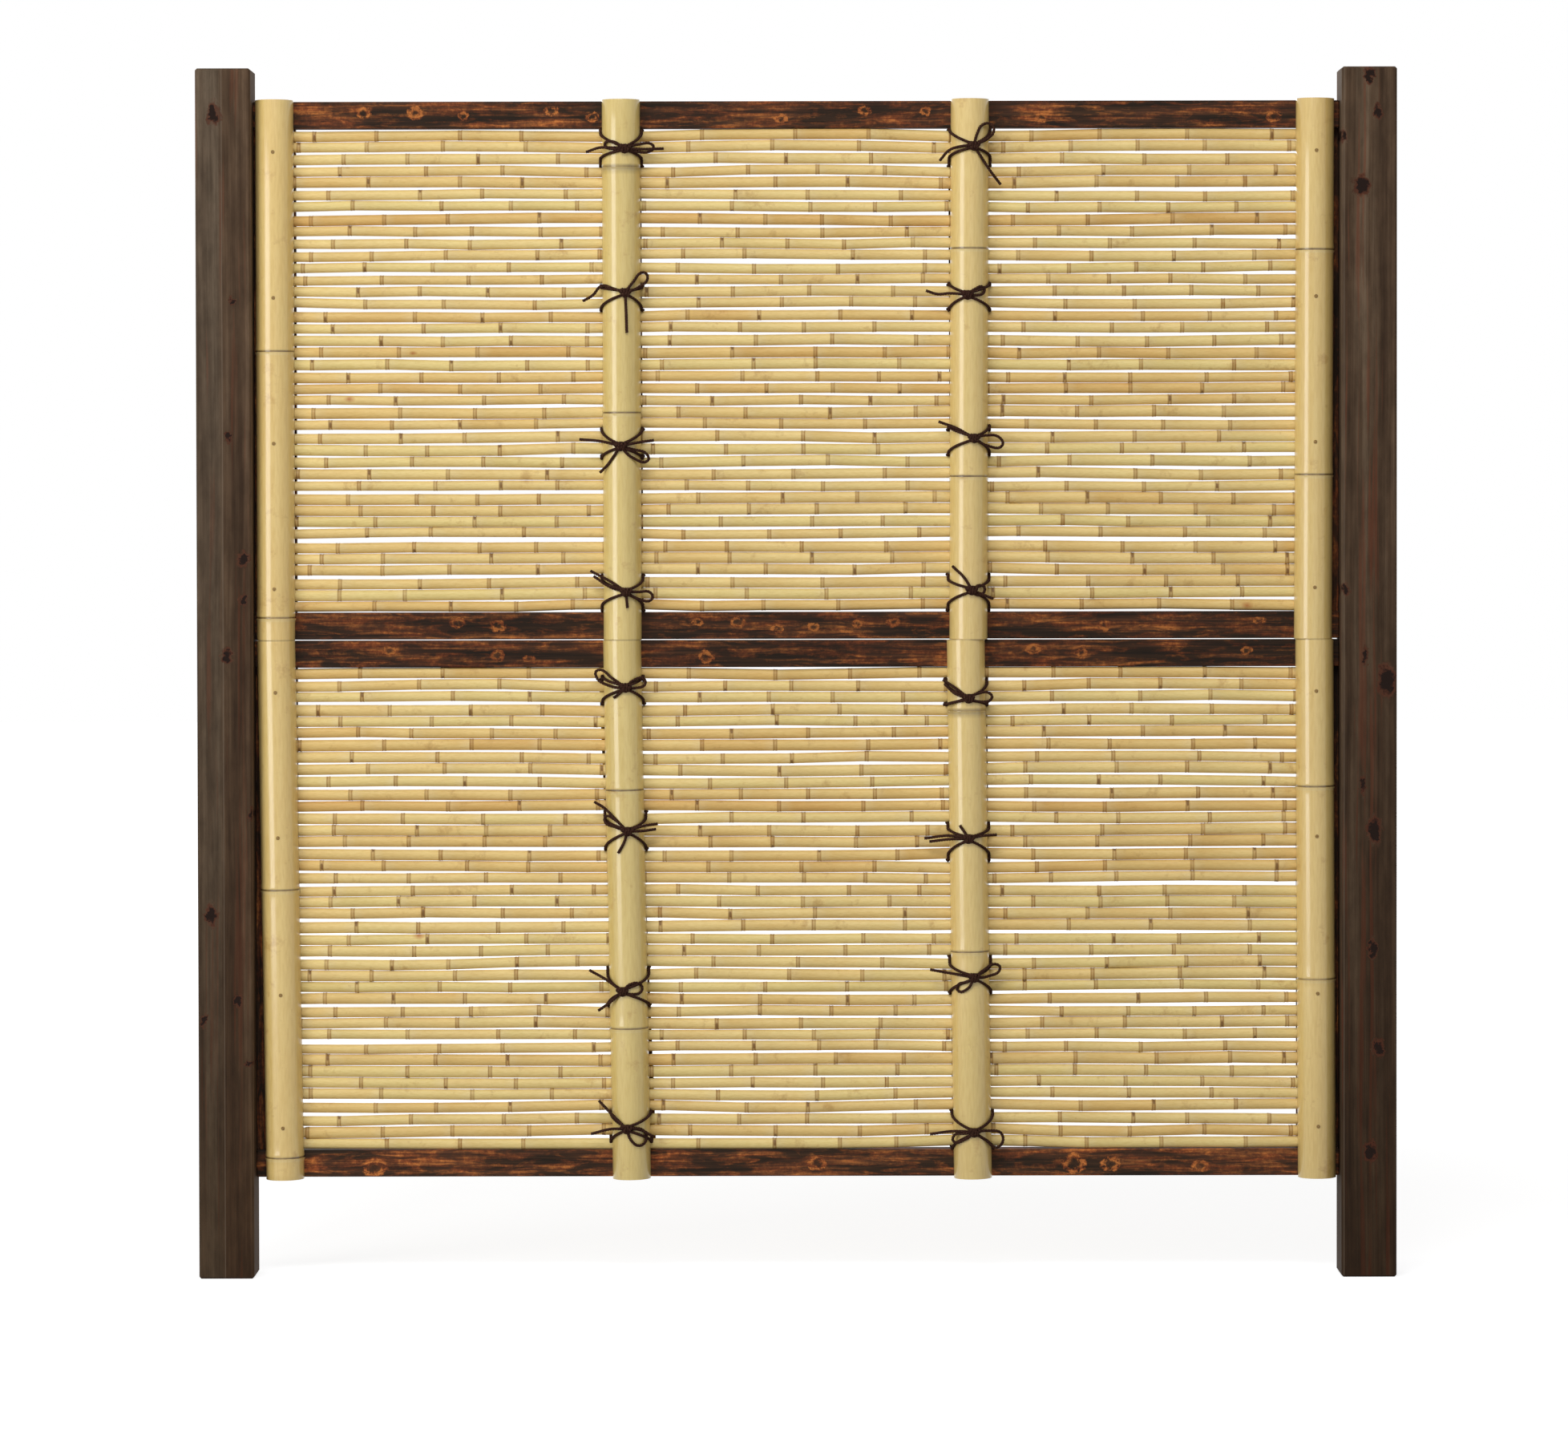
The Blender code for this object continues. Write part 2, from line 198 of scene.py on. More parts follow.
def mix(material, factor, first, second, blend="MIX"):
    """A mix of two colours."""
    inputs = {0: factor, 6: first, 7: second}
    return add(material, "Mix", inputs, data_type="RGBA", blend_type=blend, clamp_factor=True).outputs[2]


def stained(material, base, amount, weight, shade):
    """The base with this shade laid over it, where the amount says and no stronger than the weight."""
    return mix(material, maths(material, "MULTIPLY", amount, weight), base, shade)


def surface(material, shade, roughness, shine, relief=None, **coat):
    """Ends a finish: its colour, roughness and shine, and its relief as a height, a strength and a depth."""
    inputs = {"Base Color": shade, "Roughness": roughness, "Specular IOR Level": shine, **coat}
    if relief:
        height, strength, depth = relief
        bump = add(material, "Bump", {"Height": height, "Strength": strength, "Distance": depth})
        inputs["Normal"] = bump.outputs[0]
    shader = add(material, "BsdfPrincipled", inputs)
    add(material, "OutputMaterial", {"Surface": shader.outputs[0]})


print("node helpers ready")

# %% [markdown]
# ## Floor, background and light
#
# The background is plain white and the fence stands on a pale floor. The floor glows for the rays that come
# straight from the camera, or by way of a reflection, and is plain pale grey for the rest, so that it never
# throws extra light on the fence. Near the fence it glows a little less, so that the lamps' light tops it up
# and a faint shadow stays at the posts' feet. Far away it glows more, and meets the white air without a line.
# The air is done the same way, so the fence can be looked at from every side.

# %% floor and air
FLOOR_SIDE = 40.0
FLOOR_GREY = 0.45
NEAR, FAR = 1.5, 5.0
NEAR_GLOW, FAR_GLOW = 0.79, 0.95
AIR_LIGHT = 0.3


def seen_directly(material):
    """One for the rays that show the background to the camera, straight or by way of a surface."""
    path = add(material, "LightPath", {}).outputs
    seen = maths(material, "MAXIMUM", path["Is Camera Ray"], path["Is Glossy Ray"])
    return maths(material, "MAXIMUM", seen, path["Is Transmission Ray"])


paint = new_material("studio_floor")
far = vector(paint, "LENGTH", own_place(paint))
paper = add(paint, "BsdfDiffuse", {"Color": grey(FLOOR_GREY)}).outputs[0]
power = spread(paint, far, NEAR, FAR, NEAR_GLOW, FAR_GLOW)
glow = add(paint, "Emission", {"Color": grey(1.0), "Strength": power}).outputs[0]
lit = add(paint, "AddShader", {0: paper, 1: glow}).outputs[0]
chosen = add(paint, "MixShader", {0: seen_directly(paint), 1: paper, 2: lit}).outputs[0]
add(paint, "OutputMaterial", {"Surface": chosen})

bpy.ops.object.select_all(action="DESELECT")
bpy.ops.mesh.primitive_plane_add(size=FLOOR_SIDE, location=(0, 0, 0))
floor = bpy.context.object
floor.name = "studio_floor"
floor.data.materials.append(paint)
floor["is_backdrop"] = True

air = bpy.data.worlds.new("studio_air")
bpy.context.scene.world = air
air.use_nodes = True
air.node_tree.nodes.clear()
strength = spread(air, seen_directly(air), 0.0, 1.0, AIR_LIGHT, 1.0)
sky = add(air, "Background", {"Color": grey(1.0), "Strength": strength})
add(air, "OutputWorld", {"Surface": sky.outputs[0]})
print("floor", FLOOR_SIDE, "m across, and white air")

# %% [markdown]
# Soft light from all sides. A wide panel above and in front gives each level culm its pale upper band. A tall
# softbox on the left gives each standing culm the pale stripe left of its middle. A weak panel fills in from
# the front, one behind lights the back, and the air adds an even, weak light from all round.

# %% lamps
# Each lamp's place, the point it is aimed at, its size in metres and its power in watts
LAMPS = {
    "overhead_panel": ((-0.6, -4.6, 5.6), (0, 0, 0.9), (3.2, 1.8), 165),
    "left_softbox": ((-4.1, -3.9, 1.3), (0, 0, 0.95), (2.6, 4.2), 150),
    "front_fill": ((1.5, -8.0, 1.6), (0, 0, 0.9), (4.0, 3.0), 18),
    "back_fill": ((-1.5, 7.0, 3.5), (0, 0, 0.9), (4.0, 3.0), 90),
}
for name, (place, aim, size, watts) in LAMPS.items():
    bpy.ops.object.light_add(type="AREA", location=place)
    light = bpy.context.object
    light.name = name
    light.data.shape = "RECTANGLE"
    light.data.size, light.data.size_y = size
    light.data.energy = watts
    light.rotation_euler = (Vector(aim) - Vector(place)).to_track_quat("-Z", "Y").to_euler()
bpy.context.scene.view_settings.view_transform = "Standard"
print(len(LAMPS), "lamps placed")

# %% [markdown]
# ## Bamboo skin
#
# The skin of dried bamboo is hard, smooth and a little glossy. Its colour is a pale straw that drifts towards
# green or orange, each culm by its own amount, and very fine fibres run along it. At each growth node there
# is a thin brown scar, and just below it a paler collar. A few culms are scorched brown from drying. The scar
# and the place along each joint are stored in the mesh while it is modelled, so that the finish follows the
# shape. "Tint" is one number for a joint of a culm.

# %% bamboo finishes
STRAW = ((0.00, colour(216, 170, 98)), (0.30, colour(231, 197, 126)), (0.55, colour(239, 212, 144)),
         (0.78, colour(236, 214, 144)), (1.00, colour(222, 199, 128)))
# The scorched places: x, z and reach, in millimetres
SCORCHES = ((-667, 1310, 16), (-572, 1378, 11), (672, 1000, 22), (-566, 508, 18))


def bamboo_skin(name, mottle_scale, fibre_scale, scar_shade, gloss, level, scorches=()):
    """A bamboo finish. The mottle's scale is along X, Y and Z, and level is the overall tone."""
    skin = new_material(name)
    place, tint = own_place(skin), stored(skin, "tint")
    shift = add(skin, "CombineXYZ", {"X": maths(skin, "MULTIPLY", tint, 7.3), "Y": tint, "Z": tint})
    moved = vector(skin, "ADD", place, shift.outputs[0])
    mottle = noise(skin, moved, mottle_scale, 3.0, 0.6)
    fibre = noise(skin, moved, tuple(scale * fibre_scale for scale in mottle_scale))
    blotch = noise(skin, moved, 26.0, 4.0, 0.7)
    tone = maths(skin, "ADD", maths(skin, "MULTIPLY_ADD", mottle, 0.5, -0.25), tint, clamp=True)
    base = ramp(skin, tone, *STRAW)
    collar = ramp(skin, stored(skin, "span"), (0.0, 0.55), (0.05, 0), (0.84, 0), (1.0, 1))
    base = stained(skin, base, collar, 0.3, colour(240, 224, 178))
    grain = ramp(skin, fibre, (0.32, (0.88, 0.82, 0.69, 1)), (0.6, 1))
    base = mix(skin, 0.55, base, grain, "MULTIPLY")
    base = mix(skin, 1.0, base, (*level, 1.0), "MULTIPLY")
    base = stained(skin, base, ramp(skin, blotch, (0.60, 0), (0.73, 1)), 0.45, colour(178, 128, 66))
    for x, z, reach in scorches:
        away = vector(skin, "SUBTRACT", place, (x * MM, 0, z * MM))
        away = vector(skin, "MULTIPLY", away, (1 / (reach * MM), 8, 1.8 / (reach * MM)))
        near = total(skin, vector(skin, "LENGTH", away), (blotch, 0.9))
        base = stained(skin, base, ramp(skin, near, (0.45, 1), (1.25, 0)), 0.8, colour(176, 96, 46))
    ragged = maths(skin, "MULTIPLY_ADD", blotch, 1.2, 0.25)
    # On the half culms the scar layer also carries the painted shade at the butt ends.
    base = mix(skin, maths(skin, "MULTIPLY", stored(skin, "scar"), ragged, clamp=True), base, scar_shade)
    base = mix(skin, ramp(skin, stored(skin, "bud"), (0.25, 0), (0.7, 0.8)), base, colour(110, 74, 34))
    coat = {"Coat Weight": gloss, "Coat Roughness": 0.14}
    surface(skin, base, maths(skin, "MULTIPLY_ADD", fibre, 0.16, 0.34), 0.25, (fibre, 0.25, 0.0004), **coat)
    return skin


thin_skin = bamboo_skin("thin_culm_skin", (11.0, 70.0, 70.0), 9.0, colour(150, 104, 44), 0.0,
                        (0.98, 0.98, 0.98), SCORCHES)
split_skin = bamboo_skin("split_culm_skin", (26.0, 26.0, 3.2), 14.0, colour(96, 74, 40), 1.0,
                         (0.88, 0.845, 0.74))
print("bamboo finishes:", thin_skin.name, split_skin.name)

# %% [markdown]
# ## Thin culms
#
# A real screen is cut from long canes: each cane is slid along the saw until a good stretch lies between the
# marks, and both ends are cut off. The same is done here. A few long stock canes are extruded section by
# section, with a ridge, a scar line and a slight step in thickness at every node, and a bud on alternate
# sides. Each of the eighty culms is then a copy of one of them, slid, turned about its own axis, pressed a
# little oval, and cut to length with two bisects. Taller than deep, it lets no more light through the screen
# than the photograph shows. A cane is straight between two nodes and bends a little at each node, so the
# copy is bent there only.

# %% helpers for modelling
def choose(piece):
    """Makes this piece the only selected one."""
    bpy.ops.object.select_all(action="DESELECT")
    bpy.context.view_layer.objects.active = piece
    piece.select_set(True)


def edit(piece):
    """Chooses a piece and enters edit mode on it."""
    choose(piece)
    bpy.ops.object.mode_set(mode="EDIT")


def leave():
    bpy.ops.object.mode_set(mode="OBJECT")


def pick(piece, kind, wanted):
    """Enters edit mode with only the wanted points (VERT) or faces (FACE) selected."""
    edit(piece)
    bpy.ops.mesh.select_mode(type=kind)
    bpy.ops.mesh.select_all(action="DESELECT")
    leave()
    parts = piece.data.polygons if kind == "FACE" else piece.data.vertices
    for part in parts:
        part.select = wanted(part)
    bpy.ops.object.mode_set(mode="EDIT")


def started(add_shape, name, **settings):
    """A new piece that starts as this basic shape."""
    bpy.ops.object.select_all(action="DESELECT")
    add_shape(**settings)
    piece = bpy.context.object
    piece.name = name
    bpy.ops.object.transform_apply(location=True, rotation=True, scale=True)
    return piece


def placed(name, shape):
    """A new object for this mesh or curve."""
    piece = bpy.data.objects.new(name, shape)
    bpy.context.scene.collection.objects.link(piece)
    return piece


def extrude(x=0, y=0, z=0):
    bpy.ops.mesh.extrude_region_move(TRANSFORM_OT_translate={"value": (x, y, z)})


def ease_edges(piece, width, smooth):
    """Bevels the sharp edges and smooths the faces that meet at less than the smooth angle, in degrees."""
    ease = piece.modifiers.new("ease", "BEVEL")
    ease.width = width
    ease.segments = 2
    ease.limit_method = "ANGLE"
    ease.angle_limit = math.radians(60)
    bpy.ops.object.modifier_apply(modifier="ease")
    bpy.ops.object.shade_smooth_by_angle(angle=math.radians(smooth))


def store(piece, **layers):
    """Keeps one number for each point of the piece, for its finish to read."""
    for name, values in layers.items():
        layer = piece.data.attributes.get(name) or piece.data.attributes.new(name, "FLOAT", "POINT")
        layer.data.foreach_set("value", values)


def dress(piece, finish):
    """Takes off what finish a piece has and gives it this one."""
    piece.data.materials.clear()
    piece.data.materials.append(finish)


def settle(piece, finish, slot, *nodes):
    """Gives a finished piece its finish and its body, and hides the solids it takes the place of. The slot is not
    used.
    """
    dress(piece, finish)
    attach(piece, "root")
    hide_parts(*nodes)


print("modelling helpers ready")

# %% stock canes
CANE_COUNT = 6
CANE_SIDES = 14
CULM_HEIGHT = 15.8 * MM
CULM_DEPTH = 14.1 * MM
CANE_LENGTH = 2700 * MM
# How far apart the nodes are, and by how much that varies, in millimetres
NODE_SPACING, NODE_SPREAD = 114, 14
TAPER = 0.12
# The rings of one node: place along the cane and rise in millimetres, and how brown the scar is there
NODE_RINGS = ((-1.6, 0.0, 0.1), (-0.6, 0.4, 0.75), (0.3, 0.1, 1.0), (1.2, 0.1, 0.55), (3.0, 0.3, 0.6),
              (4.4, 0.4, 0.9), (5.8, 0.0, 0.0))
# A bud lies between these two places past the middle of its node
BUD_START, BUD_END = -0.3 * MM, 3.5 * MM


def model_cane(name, seed):
    """A long cane along X, with the places of its nodes and the radius of each joint."""
    rng = random.Random(seed)
    size = CULM_HEIGHT / 2
    cane = started(bpy.ops.mesh.primitive_circle_add, name, vertices=CANE_SIDES, radius=size,
                   fill_type="NGON", rotation=(0, math.radians(90), 0))
    edit(cane)
    bpy.ops.mesh.select_all(action="SELECT")
    places, radii, rings = [], [size], [(0.0, 0.0)]
    along = 0.0
    at = rng.uniform(30, 90) * MM
    while at < CANE_LENGTH:
        places.append(at)
        taper = 1 + TAPER / 2 - TAPER * at / CANE_LENGTH
        radii.append(CULM_HEIGHT / 2 * taper * rng.uniform(0.97, 1.03))
        for offset, rise, brown in NODE_RINGS:
            wanted = radii[-2 if offset <= 0 else -1] + rise * MM
            extrude(at + offset * MM - along)
            along = at + offset * MM
            bpy.ops.transform.resize(value=(1, wanted / size, wanted / size), center_override=(along, 0, 0))
            size = wanted
            rings.append((along, brown))
        at += rng.gauss(NODE_SPACING, NODE_SPREAD) * MM
    extrude(CANE_LENGTH - along)
    rings.append((CANE_LENGTH, 0.0))
    leave()
    tints = [rng.gauss(0, 0.06) for _ in radii]
    budding = {number for number in range(len(places)) if rng.random() < 0.5}
    ends = [0.0, *places, CANE_LENGTH]
    scar, span, joint, bud = [], [], [], []
    for point in cane.data.vertices:
        x = point.co.x
        passed = sum(place < x + 1 * MM for place in places)
        scar.append(min(rings, key=lambda ring: abs(ring[0] - x))[1])
        span.append((x - ends[passed]) / (ends[passed + 1] - ends[passed]))
        joint.append(tints[passed])
        bud.append(0.0)
        for number in budding:
            if BUD_START < x - places[number] < BUD_END:
                facing = point.co.z * (-1) ** number / radii[number]
                bud[-1] = max(0.0, min(1.0, (facing - 0.72) / 0.2))
    store(cane, scar=scar, span=span, joint=joint, bud=bud)
    return cane, places, radii


stock = [model_cane(f"stock_cane_{number}", 100 + number) for number in range(CANE_COUNT)]
print("stock canes:", [len(cane.data.polygons) for cane, *_ in stock], "faces,",
      [len(places) for _, places, _ in stock], "nodes")

# %% [markdown]
# On the real fence each culm has a slow wave of its own, and neighbours press on each other: at some places
# they touch and at others a thin wedge of light stays open. Where a rope goes through the screen it parts
# them. So each culm first gets the course that it would take alone. Then neighbours that are too close are
# pushed apart, a little at a time, at every bend and at every rope, until all of them have their room.

# %% measures of the panels
PANELS = ("lower", "upper")
ROD_COUNT = 40
ROD_DEPTH = 4.2 * MM
# The room that neighbours need at a cut end, at a node and at a rope
END_GAP, NODE_GAP, ROPE_GAP = 0.0, 0.3 * MM, 4.3 * MM
# How far to each side of a column's middle its ropes go through the screen
ROPE_ASIDE = 31 * MM
MOST_SWEEPS = 200
CLOSE_ENOUGH = 0.03 * MM
# How thick a panel's culms are, as a share of a stock cane, and how many lie with their root end to the right
THICKNESS = {"lower": (0.95, 1.07), "upper": (0.93, 1.05)}
TURNED_ROUND = {"lower": 0.5, "upper": 0.9}
# The course of a culm goes on in a straight line past its cut ends, to bends this far out
BEYOND = 100 * MM
PANEL_FOOT = {"lower": 147.5 * MM, "upper": 951 * MM}
PANEL_HEIGHT = 801.5 * MM
# The lowest and highest height between the rails
OPENING = {panel: (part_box(f"{panel}_bottom_rail")[1].z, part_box(f"{panel}_top_rail")[0].z) for panel in PANELS}
INNER_PLACE, OUTER_PLACE = 258.9 * MM, 777 * MM
COLUMN_PLACES = {"left": -OUTER_PLACE, "mid_left": -INNER_PLACE,
                 "mid_right": INNER_PLACE, "right": OUTER_PLACE}
# Heights in millimetres at which the two turns of each tie leave the edge of their half-split culm
TURN_HEIGHTS = {
    ("upper", "mid_left"): ((998.7, 1042.7), (1219.1, 1266.7), (1440.7, 1476.4), (1664.6, 1707.5)),
    ("upper", "mid_right"): ((999.8, 1041.5), (1226.2, 1270.3), (1438.3, 1482.4), (1665.8, 1711.0)),
    ("lower", "mid_left"): ((198.0, 248.1), (403.0, 453.0), (636.5, 686.5), (856.9, 897.4)),
    ("lower", "mid_right"): ((186.1, 243.3), (420.9, 467.3), (625.7, 669.8), (850.9, 886.7)),
}
print("openings:", [[round(height / MM, 1) for height in OPENING[panel]] for panel in PANELS], "mm")


# %% lay the culms of a panel
def nearest_gap(panel, height):
    """The number of the gap nearest to this height, counted up from the bottom rail."""
    low, high = OPENING[panel]
    return min(max(round((height - low) / (high - low) * ROD_COUNT), 0), ROD_COUNT)


def stretch_of(culm, at):
    """The number of the straight stretch that this place lies in, and how far along it, from 0 to 1."""
    bends = culm["bends"]
    number = max(0, min(sum(bend < at for bend in bends) - 1, len(bends) - 2))
    return number, (at - bends[number]) / (bends[number + 1] - bends[number])


def height_of(culm, at, side=0):
    """The height of a culm's axis here, or of its top (side 1) or underside (side -1)."""
    number, share = stretch_of(culm, at)
    low, high = culm["heights"][number:number + 2]
    return low + (high - low) * share + side * culm["radii"][number]


def gap_edges(panel, laid, gap, at):
    """The heights between which this gap is open here. Rails close the lowest and the highest gap."""
    low, high = OPENING[panel]
    return (height_of(laid[gap - 1], at, 1) if gap > 0 else low,
            height_of(laid[gap], at, -1) if gap < ROD_COUNT else high)


def lift(culm, at, amount):
    """Moves the two bends round this place, so that the culm moves by this amount there."""
    number, share = stretch_of(culm, at)
    whole = share ** 2 + (1 - share) ** 2
    culm["heights"][number] += amount * (1 - share) / whole
    culm["heights"][number + 1] += amount * share / whole


def cut_culm(name, panel, left, right):
    """A culm cut from a stock cane, still straight, with the places where it bends."""
    cane, places, radii = rng.choice(stock)
    body = placed(name, cane.data.copy())
    slide = rng.uniform(0, CANE_LENGTH - (right - left))
    thick = rng.uniform(*THICKNESS[panel])
    deep = CULM_DEPTH / CULM_HEIGHT * (0.6 + 0.4 * thick)
    roll = Matrix.Rotation(rng.uniform(0, 2 * math.pi), 4, "X")
    body.data.transform(Matrix.Diagonal((1, deep, thick, 1)) @ roll @ Matrix.Translation((-slide, 0, 0)))
    places = [place - slide for place in places]
    if rng.random() < TURNED_ROUND[panel]:
        body.data.transform(Matrix.Translation((right - left, 0, 0)) @ Matrix.Rotation(math.pi, 4, "Z"))
        places, radii = [right - left - place for place in reversed(places)], radii[::-1]
    body.data.transform(Matrix.Translation((left, 0, 0)))
    inside = [number for number, place in enumerate(places) if 0 < place < right - left]
    edit(body)
    for cut, outward in ((left, -1), (right, 1)):
        bpy.ops.mesh.select_all(action="SELECT")
        bpy.ops.mesh.bisect(plane_co=(cut, 0, 0), plane_no=(outward, 0, 0), use_fill=True, clear_outer=True)
    leave()
    bends = [left - BEYOND, *(left + places[number] for number in inside), right + BEYOND]
    radii = [radii[number] * thick for number in (inside[0], *(number + 1 for number in inside))]
    return {"body": body, "bends": bends, "radii": radii}


def push_apart(panel, laid, ends):
    """Gives each culm its room. Returns the number of sweeps, and the room that is still missing."""
    ropes = {}
    for column in ("mid_left", "mid_right"):
        for height in (height for heights in TURN_HEIGHTS[panel, column] for height in heights):
            for side in (-ROPE_ASIDE, ROPE_ASIDE):
                ropes.setdefault(nearest_gap(panel, height * MM), []).append(COLUMN_PLACES[column] + side)
    for sweep in range(1, MOST_SWEEPS + 1):
        worst = 0.0
        for gap in range(ROD_COUNT + 1):
            movable = [(laid[gap + side], way) for side, way in ((-1, -1), (0, 1))
                       if 0 <= gap + side < ROD_COUNT]
            checks = [(bend, NODE_GAP) for culm, _ in movable for bend in culm["bends"][1:-1]]
            checks += [(end, END_GAP) for end in ends]
            checks += [(place, ROPE_GAP) for place in ropes.get(gap, ())]
            for at, room in checks:
                under, over = gap_edges(panel, laid, gap, at)
                short = room - (over - under)
                if short > 0:
                    worst = max(worst, short)
                    for culm, way in movable:
                        lift(culm, at, way * short / len(movable))
        if worst < CLOSE_ENOUGH:
            break
    return sweep, worst


def bend_culm(culm):
    """Bends a straight culm along its course, and gives it its tint."""
    body = culm["body"]
    depths = [ROD_DEPTH + rng.gauss(0, 0.12) * MM for _ in culm["bends"]]
    for point in body.data.vertices:
        number, share = stretch_of(culm, point.co.x)
        point.co.y += depths[number] + (depths[number + 1] - depths[number]) * share
        point.co.z += height_of(culm, point.co.x)
    tint = rng.gauss(0.52, 0.15)
    store(body, tint=[min(max(tint + joint.value, 0.0), 1.0) for joint in body.data.attributes["joint"].data])
    choose(body)
    bpy.ops.object.shade_smooth_by_angle(angle=math.radians(50))


def lay_panel(panel):
    """Forty culms, pushed apart until each has room."""
    low, high = OPENING[panel]
    left, right = (corner.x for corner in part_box(f"{panel}_rod_screen"))
    pitch = (high - low) / ROD_COUNT
    laid = []
    for number in range(ROD_COUNT):
        culm = cut_culm(f"{panel}_thin_culm_{number + 1:02d}", panel, left, right)
        wave, turns, phase = rng.uniform(0.5, 3.0) * MM, rng.uniform(2.5, 7.0), rng.uniform(0, 2 * math.pi)
        middle = low + pitch * (number + 0.5) + rng.gauss(0, 0.9) * MM
        culm["heights"] = [middle + wave * math.sin(turns * bend + phase) + rng.gauss(0, 0.65) * MM
                           for bend in culm["bends"]]
        laid.append(culm)
    sweeps, worst = push_apart(panel, laid, (left, right))
    for culm in laid:
        bend_culm(culm)
        settle(culm["body"], thin_skin, "thin_culm", f"{panel}_rod_screen")
    print(panel, "panel: closest after", sweeps, "sweeps is", round(worst / MM, 2), "mm short of its room")
    return laid


rng = random.Random(11)
culms = {panel: lay_panel(panel) for panel in PANELS}
for cane, *_ in stock:
    bpy.data.objects.remove(cane, do_unlink=True)
print(sum(len(c["body"].data.polygons) for laid in culms.values() for c in laid), "faces on eighty culms")

# %% [markdown]
# ## Half-split culms
#
# A thick culm is split down the middle and each half is laid with its hollow side against the screen. It is
# modelled as it grows: half a ring is extruded upward, swelling at each node to the sharp scar of the fallen
# sheath and the rounder ridge above it. Solidify then gives the wall, the two sawn edges are pressed flat,
# and a small bevel eases the cut ends. In a real culm a thin wall closes the hollow at each node. It is left
# out, because the screen hides it. Where the panels meet, the cut ends touch, and the shade in that joint is
# painted on each end as a thin brown band. The culms were never quite plumb on the real fence, so each one
# leans by its own few millimetres.

# %% measures of the half-split culms
SPLIT_RADIUS = 28.5 * MM
SPLIT_WALL = 5 * MM
SPLIT_SIDES = 72
SPLIT_EASE = 0.5 * MM
# The plane of the sawn edges, in front of the fence's middle
SAWN_PLANE = -3.3 * MM
# The rings of one node: place and rise in millimetres, and how brown a sharp and a worn node are there.
# The outer rings keep the long stretches straight.
SPLIT_STEPS = ((-22, 0.0, 0, 0), (-11, 0.0, 0, 0), (-4, 0.15, 0, 0.4), (-1.6, 0.65, 0, 0.6),
               (-0.6, 0.9, 0, 0.35), (0.2, 0.15, 1, 0.7), (1.6, 0.1, 1, 0.8), (3.4, 0.7, 0, 0.5),
               (6.0, 0.55, 0, 0), (12, 0.0, 0, 0), (24, 0.0, 0, 0))
WORN_NODES = {("upper", "mid_left"), ("lower", "mid_right")}
COLLAR = 5 * MM
# How far an end reaches towards the other panel's culm, how far the painted shade at that end runs, and how brown
# that painted shade is
BUTT_REACH, BUTT_SHADE_LENGTH, BUTT_SHADE_BROWN = 0.5 * MM, 1.8 * MM, 0.5
# How far the top and the foot stand to the right of their column's place, in millimetres
SPLIT_LEAN = {
    ("upper", "left"): (0, 0), ("upper", "mid_left"): (-2, -1), ("upper", "mid_right"): (0, -3),
    ("upper", "right"): (-4, -7), ("lower", "left"): (0, 11), ("lower", "mid_left"): (-2, 11),
    ("lower", "mid_right"): (-7, 3), ("lower", "right"): (-5, -1),
}
# Where the two nodes are, as shares of the panel's height
SPLIT_NODES = {
    ("upper", "left"): (0.040, 0.535), ("upper", "mid_left"): (0.420, 0.876),
    ("upper", "mid_right"): (0.301, 0.724), ("upper", "right"): (0.303, 0.721),
    ("lower", "left"): (0.037, 0.536), ("lower", "mid_left"): (0.277, 0.721),
    ("lower", "mid_right"): (0.419, 0.868), ("lower", "right"): (0.367, 0.726),
}
SPLIT_TINT = {"left": 0.5, "mid_left": 0.85, "mid_right": 0.6, "right": 0.5}
print(2 * len(SPLIT_NODES), "nodes on", len(SPLIT_NODES), "half-split culms")


# %% model the half-split culms
def culm_middle(panel, column, height):
    """X of the middle of a half-split culm at this height."""
    low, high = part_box(f"{panel}_{column}_split_culm")
    top, bottom = SPLIT_LEAN[panel, column]
    return COLUMN_PLACES[column] + (bottom + (top - bottom) * (height - low.z) / (high.z - low.z)) * MM


def draw_half_tube(name, low, high, nodes, worn, shaded_top):
    """Half a tube without a wall yet, and its rings: height, and how brown it is there: a node's scar, and the
    painted shade at the butt end.
    """
    culm = started(bpy.ops.mesh.primitive_circle_add, name, vertices=SPLIT_SIDES, radius=SPLIT_RADIUS,
                   location=(0, 0, low))
    pick(culm, "VERT", lambda point: point.co.y > 0.1 * MM)
    bpy.ops.mesh.delete(type="VERT")
    bpy.ops.mesh.select_all(action="SELECT")
    at, size, rings = low, SPLIT_RADIUS, []
    # The brown band at one butt end is painted shade, where the two half culms meet.
    if not shaded_top:
        extrude(z=BUTT_SHADE_LENGTH)
        at += BUTT_SHADE_LENGTH
        rings += [(low, BUTT_SHADE_BROWN), (at, 0.0)]
    for node in nodes:
        for offset, rise, sharp_brown, worn_brown in SPLIT_STEPS:
            step, wanted = node + offset * MM, SPLIT_RADIUS + rise * MM
            extrude(z=step - at)
            bpy.ops.transform.resize(value=(wanted / size, wanted / size, 1), center_override=(0, 0, step))
            at, size = step, wanted
            rings.append((step, worn_brown if worn and node == nodes[-1] else sharp_brown))
    if shaded_top:
        extrude(z=high - BUTT_SHADE_LENGTH - at)
        at = high - BUTT_SHADE_LENGTH
        rings += [(at, 0.0), (high, BUTT_SHADE_BROWN)]
    extrude(z=high - at)
    bpy.ops.mesh.select_all(action="SELECT")
    bpy.ops.mesh.normals_make_consistent(inside=False)
    leave()
    if sum(face.normal.dot(Vector((face.center.x, face.center.y, 0))) for face in culm.data.polygons) < 0:
        culm.data.flip_normals()
    return culm, rings


